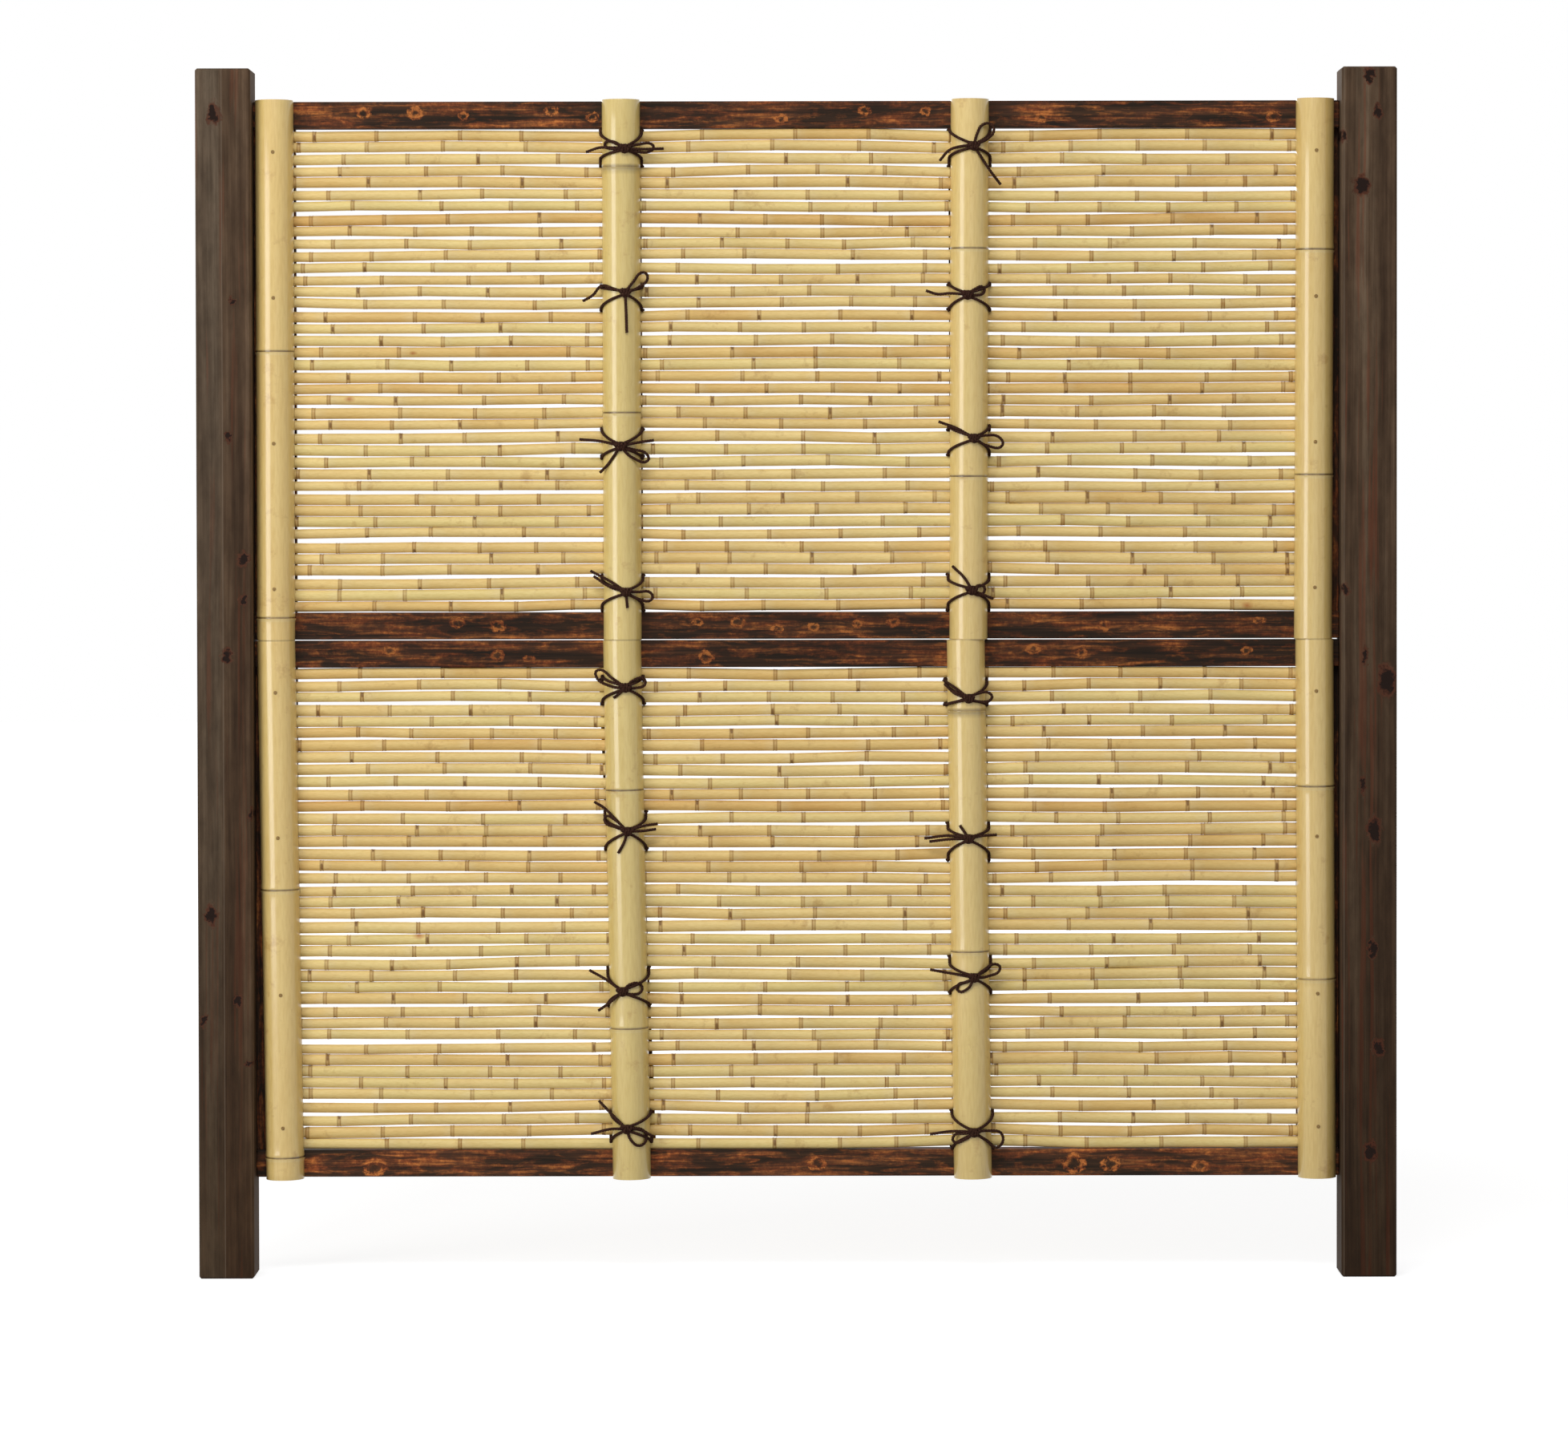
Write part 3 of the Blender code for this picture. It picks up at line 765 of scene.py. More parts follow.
def model_half_culm(panel, column):
    """A half-split culm with its wall, its nodes and its lean."""
    solid = f"{panel}_{column}_split_culm"
    low, high = (corner.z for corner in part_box(solid))
    low, high = (low - BUTT_REACH, high) if panel == "upper" else (low, high + BUTT_REACH)
    nodes = [PANEL_FOOT[panel] + share * PANEL_HEIGHT for share in SPLIT_NODES[panel, column]]
    culm, rings = draw_half_tube(f"{panel}_{column}_half_culm", low, high, nodes,
                                 (panel, column) in WORN_NODES, panel == "lower")
    wall = culm.modifiers.new("wall", "SOLIDIFY")
    wall.thickness = SPLIT_WALL
    wall.offset = -1
    bpy.ops.object.modifier_apply(modifier="wall")
    for point in culm.data.vertices:
        point.co.y = min(point.co.y, 0.0)
    ease_edges(culm, SPLIT_EASE, 35)
    scar, span = [], []
    for point in culm.data.vertices:
        skin = math.hypot(point.co.x, point.co.y) >= SPLIT_RADIUS - 0.6 * MM
        scar.append(min(rings, key=lambda ring: abs(point.co.z - ring[0]))[1] if skin else 0.0)
        span.append(1.0 if any(0 < node - point.co.z < COLLAR for node in nodes) else 0.3)
    store(culm, scar=scar, span=span, tint=[SPLIT_TINT[column]] * len(scar))
    middle = (low + high) / 2
    top, bottom = SPLIT_LEAN[panel, column]
    lean = Matrix.Rotation(math.atan2((top - bottom) * MM, high - low), 4, "Y")
    place = Vector((culm_middle(panel, column, middle), SAWN_PLANE, middle))
    culm.data.transform(Matrix.Translation(place) @ lean @ Matrix.Translation((0, 0, -middle)))
    settle(culm, split_skin, "split_culm", solid)
    return culm


half_culms = [model_half_culm(panel, column) for panel in PANELS for column in COLUMN_PLACES]
print(len(half_culms), "half culms,", sum(len(culm.data.polygons) for culm in half_culms), "faces")

# %% [markdown]
# ## Rope ties
#
# The ties are dark dyed palm rope, three strands laid together. Each tie goes over the culm, through the
# gaps of the screen on both sides and round a batten behind it, twice. It ends in front in a small hard knot,
# with three tight turns round its middle, a bow and loose tails. One short lay of rope is modelled once.
# Array repeats it for the length that a path needs, and Curve bends it along the path, so that the twist
# never stretches.

# %% one lay of rope
ROPE_SIDES = 9
ROPE_CREST = 2.3 * MM
# How deep the valley between two strands is, as a share of the crest
ROPE_VALLEY = 0.68
LAY_LENGTH = 4 * MM
LAY_STEPS = 4
MERGE_REACH = 0.02 * MM


def model_lay():
    """A third of a turn of three-stranded rope along X: twist it once more and it looks the same."""
    lay = started(bpy.ops.mesh.primitive_circle_add, "rope_lay", vertices=ROPE_SIDES, radius=ROPE_CREST,
                  rotation=(0, math.radians(90), 0))
    for number, point in enumerate(lay.data.vertices):
        if number % 3 == 0:
            point.co *= ROPE_VALLEY
    edit(lay)
    bpy.ops.mesh.select_all(action="SELECT")
    for step in range(LAY_STEPS):
        extrude(LAY_LENGTH / LAY_STEPS)
        bpy.ops.transform.rotate(value=math.radians(120 / LAY_STEPS), orient_axis="X",
                                 center_override=(LAY_LENGTH * (step + 1) / LAY_STEPS, 0, 0))
    leave()
    return lay


lay = model_lay()
print("one lay:", len(lay.data.polygons), "faces")


# %% lay rope along a path
def rope_along(name, points):
    """Rope along a smooth path through these points."""
    line = bpy.data.curves.new(name + "_path", "CURVE")
    line.dimensions = "3D"
    line.resolution_u = 10
    spline = line.splines.new("BEZIER")
    spline.bezier_points.add(len(points) - 1)
    for knob, place in zip(spline.bezier_points, points):
        knob.co = place
        knob.handle_left_type = knob.handle_right_type = "AUTO"
    guide = placed(name + "_path", line)
    rope = placed(name, lay.data.copy())
    choose(rope)
    repeat = rope.modifiers.new("repeat", "ARRAY")
    repeat.fit_type = "FIT_CURVE"
    repeat.curve = guide
    repeat.use_relative_offset = False
    repeat.use_constant_offset = True
    repeat.constant_offset_displace = (LAY_LENGTH, 0, 0)
    repeat.use_merge_vertices = True
    repeat.merge_threshold = MERGE_REACH
    bend = rope.modifiers.new("bend", "CURVE")
    bend.object = guide
    bend.deform_axis = "POS_X"
    bpy.ops.object.modifier_apply(modifier="repeat")
    bpy.ops.object.modifier_apply(modifier="bend")
    bpy.data.objects.remove(guide, do_unlink=True)
    edit(rope)
    bpy.ops.mesh.select_all(action="SELECT")
    bpy.ops.mesh.fill_holes(sides=ROPE_SIDES)
    bpy.ops.mesh.normals_make_consistent(inside=False)
    leave()
    bpy.ops.object.shade_smooth()
    return rope


print("rope can follow a path")

# %% [markdown]
# The table holds the four ties of each lashed culm, from the bottom up. It gives each knot's place on the
# face of the fence, x and z in millimetres. Then come, in millimetres from the knot, the points of its bows,
# which come back to the knot, and of its tails, which don't.

# %% the sixteen ties, as tied
TIES = {
    ("upper", "mid_left"): (
        (-254, 1022, (((17, 0), (37, -2), (38, -11), (17, -10)),),
         (((-19, 13), (-51, 30)), ((-23, 7), (-48, 23)), ((1, -11), (2, -21)))),
        (-262, 1239, (((19, -5), (39, -12), (41, -21), (18, -17)),),
         (((-29, 7), (-60, 10)), ((25, 5), (46, 8)), ((-11, -17), (-20, -29), (-29, -38)))),
        (-254, 1467, (((11, 15), (27, 30), (33, 23), (18, 7)),),
         (((-19, 6), (-35, 10), (-49, -4), (-63, -12)), ((1, -24), (2, -56)))),
        (-255, 1681, (((21, 6), (41, 6), (43, 1), (38, -4), (20, -5)),
                      ((-18, 10), (-29, 7), (-27, 2), (-17, -1))),
         (((24, -1), (56, 0)), ((-21, 1), (-38, 1), (-54, -4)))),
    ),
    ("upper", "mid_right"): (
        (260, 1024, (((12, 7), (19, 4), (17, -5), (7, -7)),),
         (((-10, 17), (-26, 33)), ((15, -6), (32, -13)))),
        (264, 1250, (((17, 4), (39, 0), (42, -11), (19, -11)),), (((-25, 14), (-51, 24)),)),
        (254, 1463, (((11, 8), (24, 11), (25, 4), (12, -1)),), (((-26, 2), (-44, 1), (-60, 6)),)),
        (264, 1684, (((5, 18), (13, 31), (26, 32), (30, 23), (21, 11), (8, 4)),),
         (((10, -15), (24, -36), (38, -54)), ((-19, -1), (-37, -7), (-49, -20)))),
    ),
    ("lower", "mid_left"): (
        (-255, 222, (((12, 1), (26, -4), (29, -17), (18, -25), (7, -17)),),
         (((21, -2), (37, -11)), ((-21, 20), (-39, 38)), ((-24, -1), (-50, -8)))),
        (-261, 427, (((13, 11), (27, 10), (29, 1), (13, -4)),),
         (((-24, 17), (-48, 30)), ((-15, -14), (-35, -29)))),
        (-253, 666, (((-19, 17), (-32, 21), (-33, 13), (-18, 6)),),
         (((-20, 20), (-36, 35), (-48, 42)), ((21, 7), (42, 10)), ((21, 0), (39, 2)),
          ((-4, -15), (-13, -32)))),
        (-255, 880, (((11, 10), (26, 13), (29, 5), (14, -1)), ((-18, 12), (-42, 25), (-45, 19), (-20, 1))),
         (((-8, -8), (-17, -15)),)),
    ),
    ("lower", "mid_right"): (
        (263, 216, (((-14, -2), (-29, -5), (-31, -14), (-14, -11)),
                    ((18, 2), (42, -5), (36, -23), (17, -12))),
         (((-30, 1), (-63, -4)),)),
        (263, 447, (((15, 11), (33, 19), (39, 13), (19, 1)), ((-11, -7), (-23, -11), (-24, -20), (-10, -17))),
         (((-30, 5), (-62, 10)),)),
        (255, 654, (),
         (((-27, 4), (-62, 0)), ((-26, -1), (-57, -5)), ((20, 4), (39, 5)), ((-5, 8), (-12, 18)))),
        (255, 863, (((14, 7), (32, 7), (35, 0), (15, -5)),),
         (((-15, 12), (-36, 26)), ((-20, 7), (-33, 19)), ((-17, -5), (-36, -10)))),
    ),
}
print(sum(len(ties) for ties in TIES.values()), "ties in the table")

# %% tie them
BATTEN_FRONT, BATTEN_BACK = 12 * MM, 27 * MM
# How far the middle of the rope lies out from what it goes round
ROPE_ROOM = 2.2 * MM
KNOT_STAND = 3 * MM
# How far above and below the knot's middle the two turns leave it
TURN_SPREAD = 2.4 * MM
KNOT_STEPS = 15
HITCH_STEPS, HITCH_TURNS = 24, 3

rope_finish = new_material("dyed_palm_rope")
place = own_place(rope_finish)
fuzz = noise(rope_finish, place, 900.0, 3.0, 0.6)
shade = ramp(rope_finish, fuzz, (0.3, colour(26, 12, 6)), (0.52, colour(54, 30, 22)),
             (0.72, colour(118, 86, 68)))
shade = stained(rope_finish, shade, noise(rope_finish, place, 60.0), 0.4, colour(46, 20, 15))
surface(rope_finish, shade, 0.9, 0.15, (fuzz, 0.6, 0.0005))


def on_culm(panel, column, x, z, out):
    """The point this far out from the culm's face at this place, or beside it once past its edge."""
    aside = max(-1.0, min(1.0, (x - culm_middle(panel, column, z)) / (SPLIT_RADIUS + out)))
    return Vector((x, SAWN_PLANE - (SPLIT_RADIUS + out) * math.sqrt(1 - aside * aside), z))


def free_point(panel, column, knot, across, up, share):
    """A point of a bow or tail: it stands off the culm by the knot and sinks back towards the screen."""
    x, z = knot.x + across * MM, knot.z + up * MM
    face = on_culm(panel, column, x, z, ROPE_ROOM)
    hang = knot.y + (0.26 * math.hypot(across, up) + 1.5 * share) * MM
    return Vector((x, min(face.y, hang), z))


def turn_points(panel, column, knot, height):
    """One turn: from the knot over the culm, through the screen, behind the batten and back."""
    legs = []
    reach = SPLIT_RADIUS + ROPE_ROOM
    start = math.asin(max(-0.9, min(0.9, (knot.x - culm_middle(panel, column, knot.z)) / reach)))
    first = knot.z + math.copysign(TURN_SPREAD, height - knot.z)
    for side in (-1, 1):
        leg = []
        for share in (0.08, 0.3, 0.52, 0.74, 0.92):
            angle = start + (side * math.radians(94) - start) * share
            z = first + (height - first) * share ** 1.15
            x = culm_middle(panel, column, z) + reach * math.sin(angle)
            leg.append(Vector((x, SAWN_PLANE - reach * math.cos(angle), z)))
        edge = culm_middle(panel, column, height) + side * reach
        inside = sum(gap_edges(panel, culms[panel], nearest_gap(panel, height), edge)) / 2
        leg.append(Vector((edge, SAWN_PLANE, height + (inside - height) * 0.6)))
        for depth in (3 * MM, 14 * MM, BATTEN_BACK - 1 * MM):
            leg.append(Vector((edge, depth, inside)))
        leg.append(Vector((edge - side * 4 * MM, BATTEN_BACK + ROPE_ROOM, inside)))
        legs.append(leg)
    left, right = legs
    return [*left, *reversed(right)]


def knot_points(knot):
    """A small three-lobed knot pulled tight."""
    points = []
    for step in range(KNOT_STEPS + 1):
        turn = 2 * math.pi * step / KNOT_STEPS
        x = 2.8 * (math.sin(turn) + 2 * math.sin(2 * turn))
        z = 1.9 * (math.cos(turn) - 2 * math.cos(2 * turn))
        points.append(knot + Vector((x, -2.1 * math.sin(3 * turn), z)) * MM)
    return points


def hitch_points(knot):
    """Three tight turns round the middle of the knot."""
    points = []
    for step in range(HITCH_STEPS + 1):
        turn = 2 * math.pi * step * HITCH_TURNS / HITCH_STEPS
        points.append(knot + Vector((-5.4 + 0.45 * step, -2.7 * math.cos(turn), 4.9 * math.sin(turn))) * MM)
    return points


def tie_rope(panel, column, number, x, z, bows, tails):
    """One tie: its knot with the turns round it, two turns round the culm, and its bows and tails."""
    name = f"{panel}_{column}_rope_{number}"
    knot = on_culm(panel, column, x * MM, z * MM, KNOT_STAND)
    parts = [rope_along(name, knot_points(knot)), rope_along(name + "_hitch", hitch_points(knot))]
    for height in TURN_HEIGHTS[panel, column][number - 1]:
        parts.append(rope_along(name + "_turn", turn_points(panel, column, knot, height * MM)))
    for bow in bows:
        ring = [free_point(panel, column, knot, across, up, 1) for across, up in bow]
        parts.append(rope_along(name + "_bow", [knot, *ring, knot + Vector((0, -0.5 * MM, 0))]))
    for tail in tails:
        line = [free_point(panel, column, knot, across, up, 0) for across, up in tail]
        parts.append(rope_along(name + "_tail", [knot, *line]))
    tie = parts[0]
    choose(tie)
    for part in parts:
        part.select_set(True)
    bpy.ops.object.join()
    tie.name = name
    settle(tie, rope_finish, "rope", f"{panel}_{column}_rope_tie_{number}")
    return tie


ties = [tie_rope(*column, number, *tie)
        for column, four in TIES.items() for number, tie in enumerate(four, 1)]
bpy.data.objects.remove(lay, do_unlink=True)
print(len(ties), "ties,", sum(len(tie.data.polygons) for tie in ties), "faces")

# %% [markdown]
# ## Nails
#
# The two outer half culms of each panel are nailed to the stiles behind the screen, four small nails each.
# A nail starts as a cylinder for its head. The head's rim is bevelled, its back is inset, and the shank is
# pulled out of it, through a gap of the screen and into the stile.

# %% sixteen nails
HEAD_RADIUS, HEAD_THICK, HEAD_EASE = 2.8 * MM, 1 * MM, 0.35 * MM
SHANK_RADIUS, SHANK_LENGTH = 1.1 * MM, 46 * MM
NAIL_GAPS = {"upper": (2, 14, 26, 38), "lower": (2, 13, 26, 38)}  # counted up from the bottom rail

nail_finish = new_material("dull_nail")
rust = noise(nail_finish, own_place(nail_finish), 700.0, 3.0)
shade = ramp(nail_finish, rust, (0.35, colour(130, 102, 60)), (0.7, colour(172, 140, 88)))
surface(nail_finish, shade, 0.7, 0.2)


def model_nail():
    """A nail that points along Y, with the middle of its head at the origin."""
    nail = started(bpy.ops.mesh.primitive_cylinder_add, "pattern_nail", vertices=16, radius=HEAD_RADIUS,
                   depth=HEAD_THICK, rotation=(math.radians(90), 0, 0))
    pick(nail, "FACE", lambda face: face.normal.y > 0.9)
    bpy.ops.mesh.inset(thickness=HEAD_RADIUS - SHANK_RADIUS)
    extrude(y=SHANK_LENGTH)
    leave()
    ease_edges(nail, HEAD_EASE, 40)
    return nail


pattern_nail = model_nail()
nails = []
for panel, gaps in NAIL_GAPS.items():
    low, high = OPENING[panel]
    for column in ("left", "right"):
        for number, gap in enumerate(gaps, 1):
            nail = placed(f"{panel}_{column}_nail_{number}", pattern_nail.data.copy())
            height = low + gap * (high - low) / ROD_COUNT
            place = (culm_middle(panel, column, height), SAWN_PLANE - SPLIT_RADIUS - HEAD_EASE, height)
            nail.data.transform(Matrix.Translation(place))
            settle(nail, nail_finish, "nail")
            nails.append(nail)
bpy.data.objects.remove(pattern_nail, do_unlink=True)
print(len(nails), "nails,", len(nails[0].data.polygons), "faces each")

# %% [markdown]
# ## Burnt cedar
#
# The rails, stiles and battens are cedar, scorched and then brushed: the soft early wood burns almost black
# and the hard late wood stays as fine raised lines. Round each knot the char has been brushed away, and warm
# orange brown shows in a broken ring. The grain runs along each piece, and bends round its knots.

# %% burnt cedar finish
# The grain's noises: scale along and across the piece, detail and wobble
BURNT_GRAIN = ((6.0, 210.0, 4.0, 0.5), (18.0, 105.0, 5.0, 0.8), (6.0, 38.0, 3.0, 0.4))


def bend_grain(material, place, knots, fraying):
    """How near a point is to any knot, from 0 to 1, and its place on the grain as if it weren't bent."""
    near, pushed = 0.0, (0, 0, 0)
    fray = noise(material, place, 75.0, 4.0, 0.7, out="Color")
    fray = vector(material, "SCALE", vector(material, "SUBTRACT", fray, (0.5, 0.5, 0.5)), fraying)
    frayed = vector(material, "ADD", place, fray)
    for x, z, reach_x, reach_z in knots:
        away = vector(material, "SUBTRACT", frayed, (x, 0, z))
        length = vector(material, "LENGTH", vector(material, "MULTIPLY", away, (1 / reach_x, 0, 1 / reach_z)))
        share = spread(material, length, 0.0, 1.0, 1.0, 0.0, interpolation_type="SMOOTHERSTEP")
        near = maths(material, "MAXIMUM", near, share)
        push = vector(material, "SCALE", away, maths(material, "MULTIPLY", share, 0.75))
        pushed = vector(material, "ADD", pushed, push)
    return near, vector(material, "SUBTRACT", place, pushed)


def burnt_wood(name, knots=(), upright=False, seed=0.0, level=1.0):
    """Burnt and brushed cedar with its knots. Level is the overall tone."""
    wood = new_material("burnt_cedar_" + name)
    place = own_place(wood)
    near, straight = bend_grain(wood, place, knots, 0.015)
    moved = vector(wood, "ADD", straight, (seed, seed * 0.7, seed * 1.3))
    noises = []
    for along, across, detail, wobble in BURNT_GRAIN:
        scale = (across, across, along) if upright else (along, across, across)
        noises.append(noise(wood, moved, scale, detail, 0.62, wobble))
    lines, flames, zones = noises
    speck = noise(wood, place, 160.0, 4.0, 0.7)
    char = ramp(wood, lines, (0.34, colour(50, 35, 26)), (0.5, colour(70, 46, 33)),
                (0.66, colour(96, 61, 42)))
    char = mix(wood, 1.0, char, ramp(wood, zones, (0.42, (0.5, 0.62, 0.66, 1)), (0.58, 1)), "MULTIPLY")
    warm = total(wood, 0.0, (lines, 0.65), (speck, 0.35), (near, 0.07))
    glow = ramp(wood, warm, (0.38, colour(98, 52, 34)), (0.5, colour(150, 80, 44)),
                (0.6, colour(212, 130, 66)))
    heat = total(wood, -0.056, (flames, 0.7), (zones, 0.35), (speck, 0.112), (near, 0.07))
    amount = ramp(wood, heat, (0.49, 0), (0.58, 0.35), (0.68, 1))
    eye = ramp(wood, near, (0.15, 0), (0.32, 0.9), (0.7, 0.8), (0.9, 0))
    eye = maths(wood, "MULTIPLY", eye, ramp(wood, speck, (0.38, 0), (0.5, 1)))
    core = ramp(wood, near, (0.8, 1), (0.97, 0.1))
    amount = maths(wood, "MULTIPLY", maths(wood, "MAXIMUM", amount, eye), core)
    shade = mix(wood, 1.0, mix(wood, amount, char, glow), grey(level), "MULTIPLY")
    surface(wood, shade, 0.7, 0.12, (lines, 0.5, 0.0008))
    return wood


# The picture's middle column, and the millimetres that one pixel stands for at the rails' face
PICTURE_MIDDLE = 994
RAIL_SCALE = 1.1956
# Where the knots of each rail are across the picture, and the rail's overall tone
RAILS = {
    "upper_top": ((455, 520, 580, 690, 740, 975, 1080, 1155, 1300, 1590), 0.88),
    "upper_bottom": ((570, 620, 870, 920, 970, 1015, 1070, 1115, 1378, 1570), 0.72),
    "lower_top": ((485, 620, 660, 880, 1290, 1350, 1555), 0.7),
    "lower_bottom": ((465, 1018, 1340, 1385, 1498), 1.04),
}
rng = random.Random(5)
for number, (rail, (pixels, level)) in enumerate(RAILS.items()):
    low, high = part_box(rail + "_rail")
    knots = []
    for pixel in pixels:
        reach = (rng.uniform(20, 28) if rail == "lower_bottom" else rng.uniform(13, 19)) * MM
        height = (low.z + high.z) / 2 + rng.uniform(-7, 7) * MM
        x, reach_z = (pixel - PICTURE_MIDDLE) * RAIL_SCALE * MM, reach * rng.uniform(0.6, 0.85)
        knots.append((x, height, reach, reach_z))
    dress(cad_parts[rail + "_rail"], burnt_wood(rail, knots, seed=number * 2.7, level=level))

plain = burnt_wood("stiles", upright=True, seed=9.1)
for name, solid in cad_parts.items():
    if "stile" in name or "batten" in name:
        dress(solid, plain)
print("burnt cedar on", len(RAILS), "rails, four stiles and two battens")

# %% [markdown]
# ## Battens behind the lashed culms
#
# In the solid model the batten behind the mid left culm is part of the rod screen, so it is modelled again:
# a plank drawn from a cube, leaned as the solid is, with its long edges eased. The other battens, the stiles
# and the rails keep their solids.

# %% two battens
BATTEN_LEAN = {"upper": (-1, 1), "lower": (-9, 18)}
BATTEN_WIDTH = 57 * MM
BATTEN_EASE = 1 * MM
END_ROOM = 0.3 * MM


def model_batten(panel):
    """The batten behind the mid left culm of a panel."""
    low, high = OPENING[panel][0] + END_ROOM, OPENING[panel][1] - END_ROOM
    middle = (-INNER_PLACE, (BATTEN_FRONT + BATTEN_BACK) / 2, (low + high) / 2)
    bpy.ops.object.select_all(action="DESELECT")
    bpy.ops.mesh.primitive_cube_add(size=1, location=middle)
    batten = bpy.context.object
    batten.name = f"{panel}_mid_left_batten"
    batten.scale = (BATTEN_WIDTH, BATTEN_BACK - BATTEN_FRONT, high - low)
    bpy.ops.object.transform_apply(location=True, rotation=True, scale=True)
    top, bottom = BATTEN_LEAN[panel]
    edit(batten)
    for shift, upper in ((top, True), (bottom, False)):
        bpy.ops.mesh.select_all(action="DESELECT")
        leave()
        for point in batten.data.vertices:
            point.select = (point.co.z > (low + high) / 2) == upper
        bpy.ops.object.mode_set(mode="EDIT")
        bpy.ops.mesh.select_mode(type="VERT")
        bpy.ops.transform.translate(value=(shift * MM, 0, 0))
    bpy.ops.mesh.select_all(action="SELECT")
    bpy.ops.mesh.bevel(offset=BATTEN_EASE, segments=2)
    leave()
    bpy.ops.object.shade_smooth_by_angle(angle=math.radians(35))
    settle(batten, burnt_wood("batten_" + panel, upright=True), "burnt_timber", f"{panel}_rod_screen")


for panel in PANELS:
    model_batten(panel)
print("a batten modelled again in each panel")

# %% [markdown]
# ## Stained cedar
#
# The posts are square cedar with a dark brown stain. The stain sinks in unevenly: greyish and reddish streaks
# run down the face, knots take it almost black, and a fine light line of harder wood runs down each post. The
# sawn ends show the rings of the heart instead, so the finish changes where the surface looks up or down.

# %% stained cedar finish
# The grain's noises: scale across and along the post, and detail
POST_GRAIN = ((420.0, 5.0, 3.0), (75.0, 1.6, 3.0), (130.0, 2.4, 2.0), (120.0, 66.0, 4.0), (60.0, 18.0, 4.0))
HEART_DEPTH = 20 * MM
RINGS_PER_METRE = 330


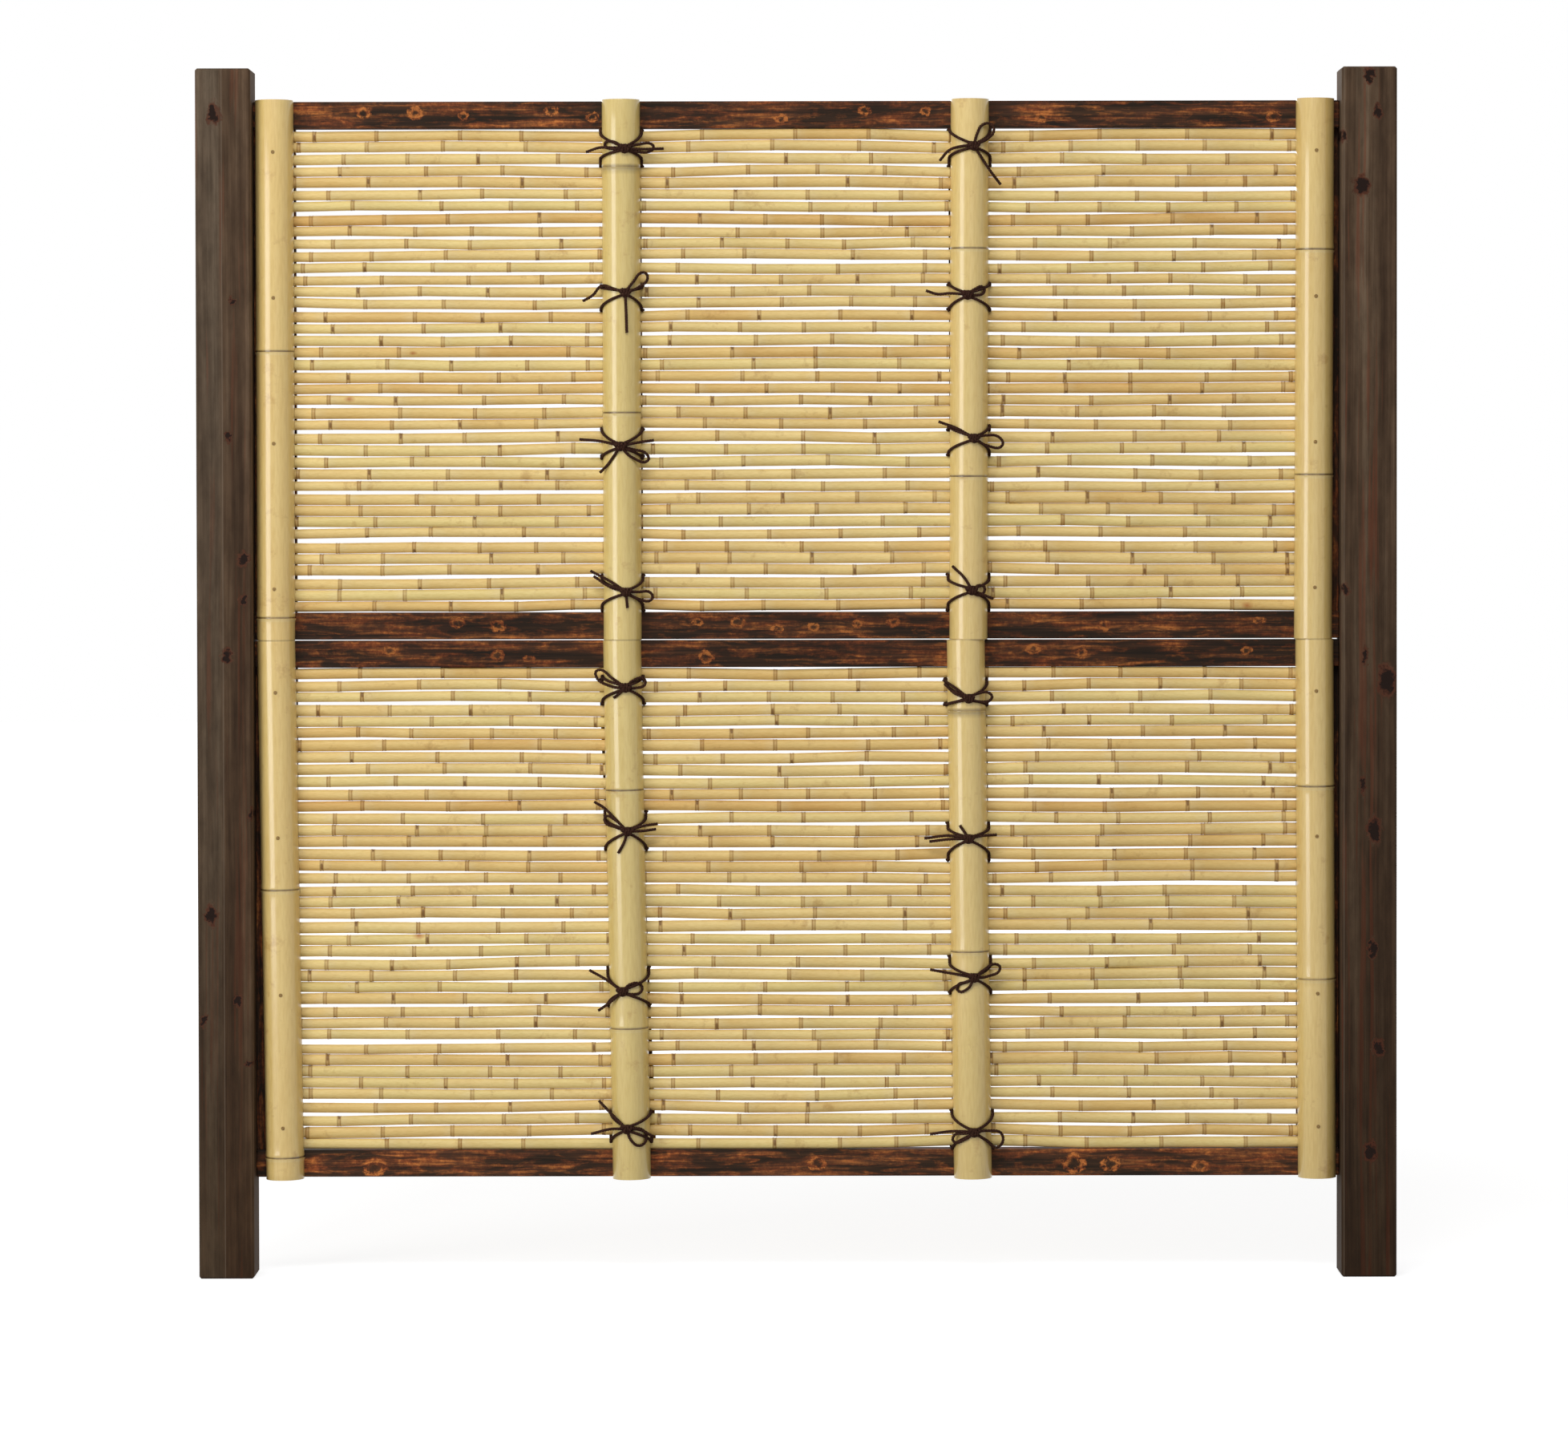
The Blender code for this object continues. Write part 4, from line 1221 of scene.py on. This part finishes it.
def stained_wood(name, knots, middle, light_line, red_line, red_depth, crown, foot, seed):
    """Stained cedar. The lines are places across the post, and crown and foot are tones."""
    wood = new_material("stained_cedar_" + name)
    place = own_place(wood)
    near, straight = bend_grain(wood, place, knots, 0.03)
    moved = vector(wood, "ADD", straight, (seed, seed, seed))
    slow = noise(wood, moved, 2.2, 1.0, out="Color")
    moved = vector(wood, "ADD", moved, vector(wood, "SCALE", slow, 0.012))
    fine, wide, red, rough, blotch = (noise(wood, moved, (across, across, along), detail, 0.6)
                                      for across, along, detail in POST_GRAIN)
    x, _, z = add(wood, "SeparateXYZ", {0: place}).outputs
    shade = ramp(wood, wide, (0.30, colour(62, 46, 33)), (0.5, colour(84, 66, 50)),
                 (0.7, colour(108, 90, 72)))
    aside = maths(wood, "SUBTRACT", x, light_line)
    shade = stained(wood, shade, spread(wood, aside, 0.002, -0.006, 0.0, 0.55), wide, colour(98, 92, 80))
    mottle = ramp(wood, blotch, (0.35, (0.7, 0.68, 0.66, 1)), (0.62, (1.14, 1.13, 1.12, 1)))
    shade = mix(wood, 0.8, shade, mottle, "MULTIPLY")
    shade = mix(wood, 0.6, shade, ramp(wood, fine, (0.3, (0.62, 0.6, 0.58, 1)), (0.6, 1)), "MULTIPLY")
    off_red = maths(wood, "ABSOLUTE", maths(wood, "SUBTRACT", x, red_line))
    redness = maths(wood, "ADD", red, spread(wood, off_red, 0.002, 0.016, 0.14, 0.0))
    shade = stained(wood, shade, ramp(wood, redness, (0.60, 0), (0.70, 1)), red_depth, colour(112, 62, 42))
    off_middle = maths(wood, "ABSOLUTE", maths(wood, "SUBTRACT", x, middle))
    edge = ramp(wood, maths(wood, "MULTIPLY", off_middle, 24.0), (0.0, 0.98), (0.45, 0.9), (0.95, 1.16))
    shade = mix(wood, 1.0, shade, edge, "MULTIPLY")
    # Darker and browner towards the foot of the post.
    crown_to_foot_tone = mix(wood, spread(wood, z, 0.1, 1.45), (foot, foot * 0.87, foot * 0.73, 1.0), grey(crown))
    shade = mix(wood, 1.0, shade, crown_to_foot_tone, "MULTIPLY")
    off_line = maths(wood, "MULTIPLY", maths(wood, "ABSOLUTE", aside), 1000)
    shade = stained(wood, shade, ramp(wood, off_line, (0.5, 1), (1.0, 0)), 0.35, colour(124, 108, 92))
    shade = mix(wood, ramp(wood, near, (0.02, 0), (0.3, 0.8)), shade, colour(84, 46, 32))
    knot = maths(wood, "MULTIPLY", near, maths(wood, "ADD", rough, 0.5))
    shade = mix(wood, ramp(wood, knot, (0.34, 0), (0.62, 0.95)), shade, colour(24, 15, 11))

    normal = add(wood, "NewGeometry", {}).outputs["Normal"]
    facing = maths(wood, "ABSOLUTE", add(wood, "SeparateXYZ", {0: normal}).outputs["Z"])
    centred = vector(wood, "SUBTRACT", place, (middle, HEART_DEPTH, 0))
    flat = vector(wood, "MULTIPLY", centred, (1, 1, 0))
    radius = vector(wood, "LENGTH", flat)
    radius = total(wood, 0.0, (radius, RINGS_PER_METRE), (noise(wood, flat, 22.0), 3.0))
    rings = ramp(wood, maths(wood, "FRACT", radius), (0.0, colour(96, 80, 64)), (0.7, colour(72, 56, 43)),
                 (0.95, colour(40, 29, 22)), (1.0, colour(96, 80, 64)))
    shade = mix(wood, ramp(wood, facing, (0.7, 0), (0.8, 1)), shade, rings)
    surface(wood, shade, 0.75, 0.12, (fine, 0.45, 0.0007))
    return wood


# The millimetres that one pixel stands for at the posts' face, and the row level with the camera's eye
POST_SCALE = 1.1905
EYE_ROW = 608.3
# The knots take in a little more than the dark that was measured
KNOT_SPREAD = 1.6
# Each knot's place in the picture, and its half height and half width in millimetres
POST_KNOTS = {
    "left": ((268, 141, 15, 9), (292, 375, 6, 5), (286, 544, 8, 4), (304, 696, 11, 8), (303, 748, 8, 5),
             (283, 818, 10, 8), (312, 1014, 7, 4), (262, 1141, 15, 8), (296, 1249, 7, 6), (309, 1327, 5, 5),
             (252, 1274, 8, 5)),
    "right": ((1708, 97, 12, 6), (1719, 140, 10, 7), (1676, 170, 9, 5), (1699, 233, 14, 11),
              (1678, 738, 9, 6), (1704, 820, 12, 4), (1730, 850, 22, 13), (1700, 982, 14, 3),
              (1715, 1038, 18, 9), (1713, 1187, 14, 6), (1720, 1311, 13, 9), (1710, 1440, 13, 8)),
}
# Each post's light line and reddest streak, how red that is, its tone at the crown and foot, and a seed
POST_LOOKS = {"left": (-852.4 * MM, -831 * MM, 0.3, 1.12, 0.60, 1.0),
              "right": (813.1 * MM, 843 * MM, 0.5, 1.07, 0.40, 4.0)}
for side, looks in POST_LOOKS.items():
    knots = []
    for column, row, tall, wide in POST_KNOTS[side]:
        x, z = (column - PICTURE_MIDDLE) * POST_SCALE * MM, EYE.z - (row - EYE_ROW) * POST_SCALE * MM
        knots.append((x, z, wide * KNOT_SPREAD * MM, tall * KNOT_SPREAD * MM))
    low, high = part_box(side + "_post")
    dress(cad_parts[side + "_post"], stained_wood(side, knots, (low.x + high.x) / 2, *looks))
print("stained cedar on both posts")

# %% [markdown]
# ## The size of the whole fence

# %% finish
low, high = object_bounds()
print("visual box:", [round((h - l) / MM, 1) for l, h in zip(low, high)], "mm")
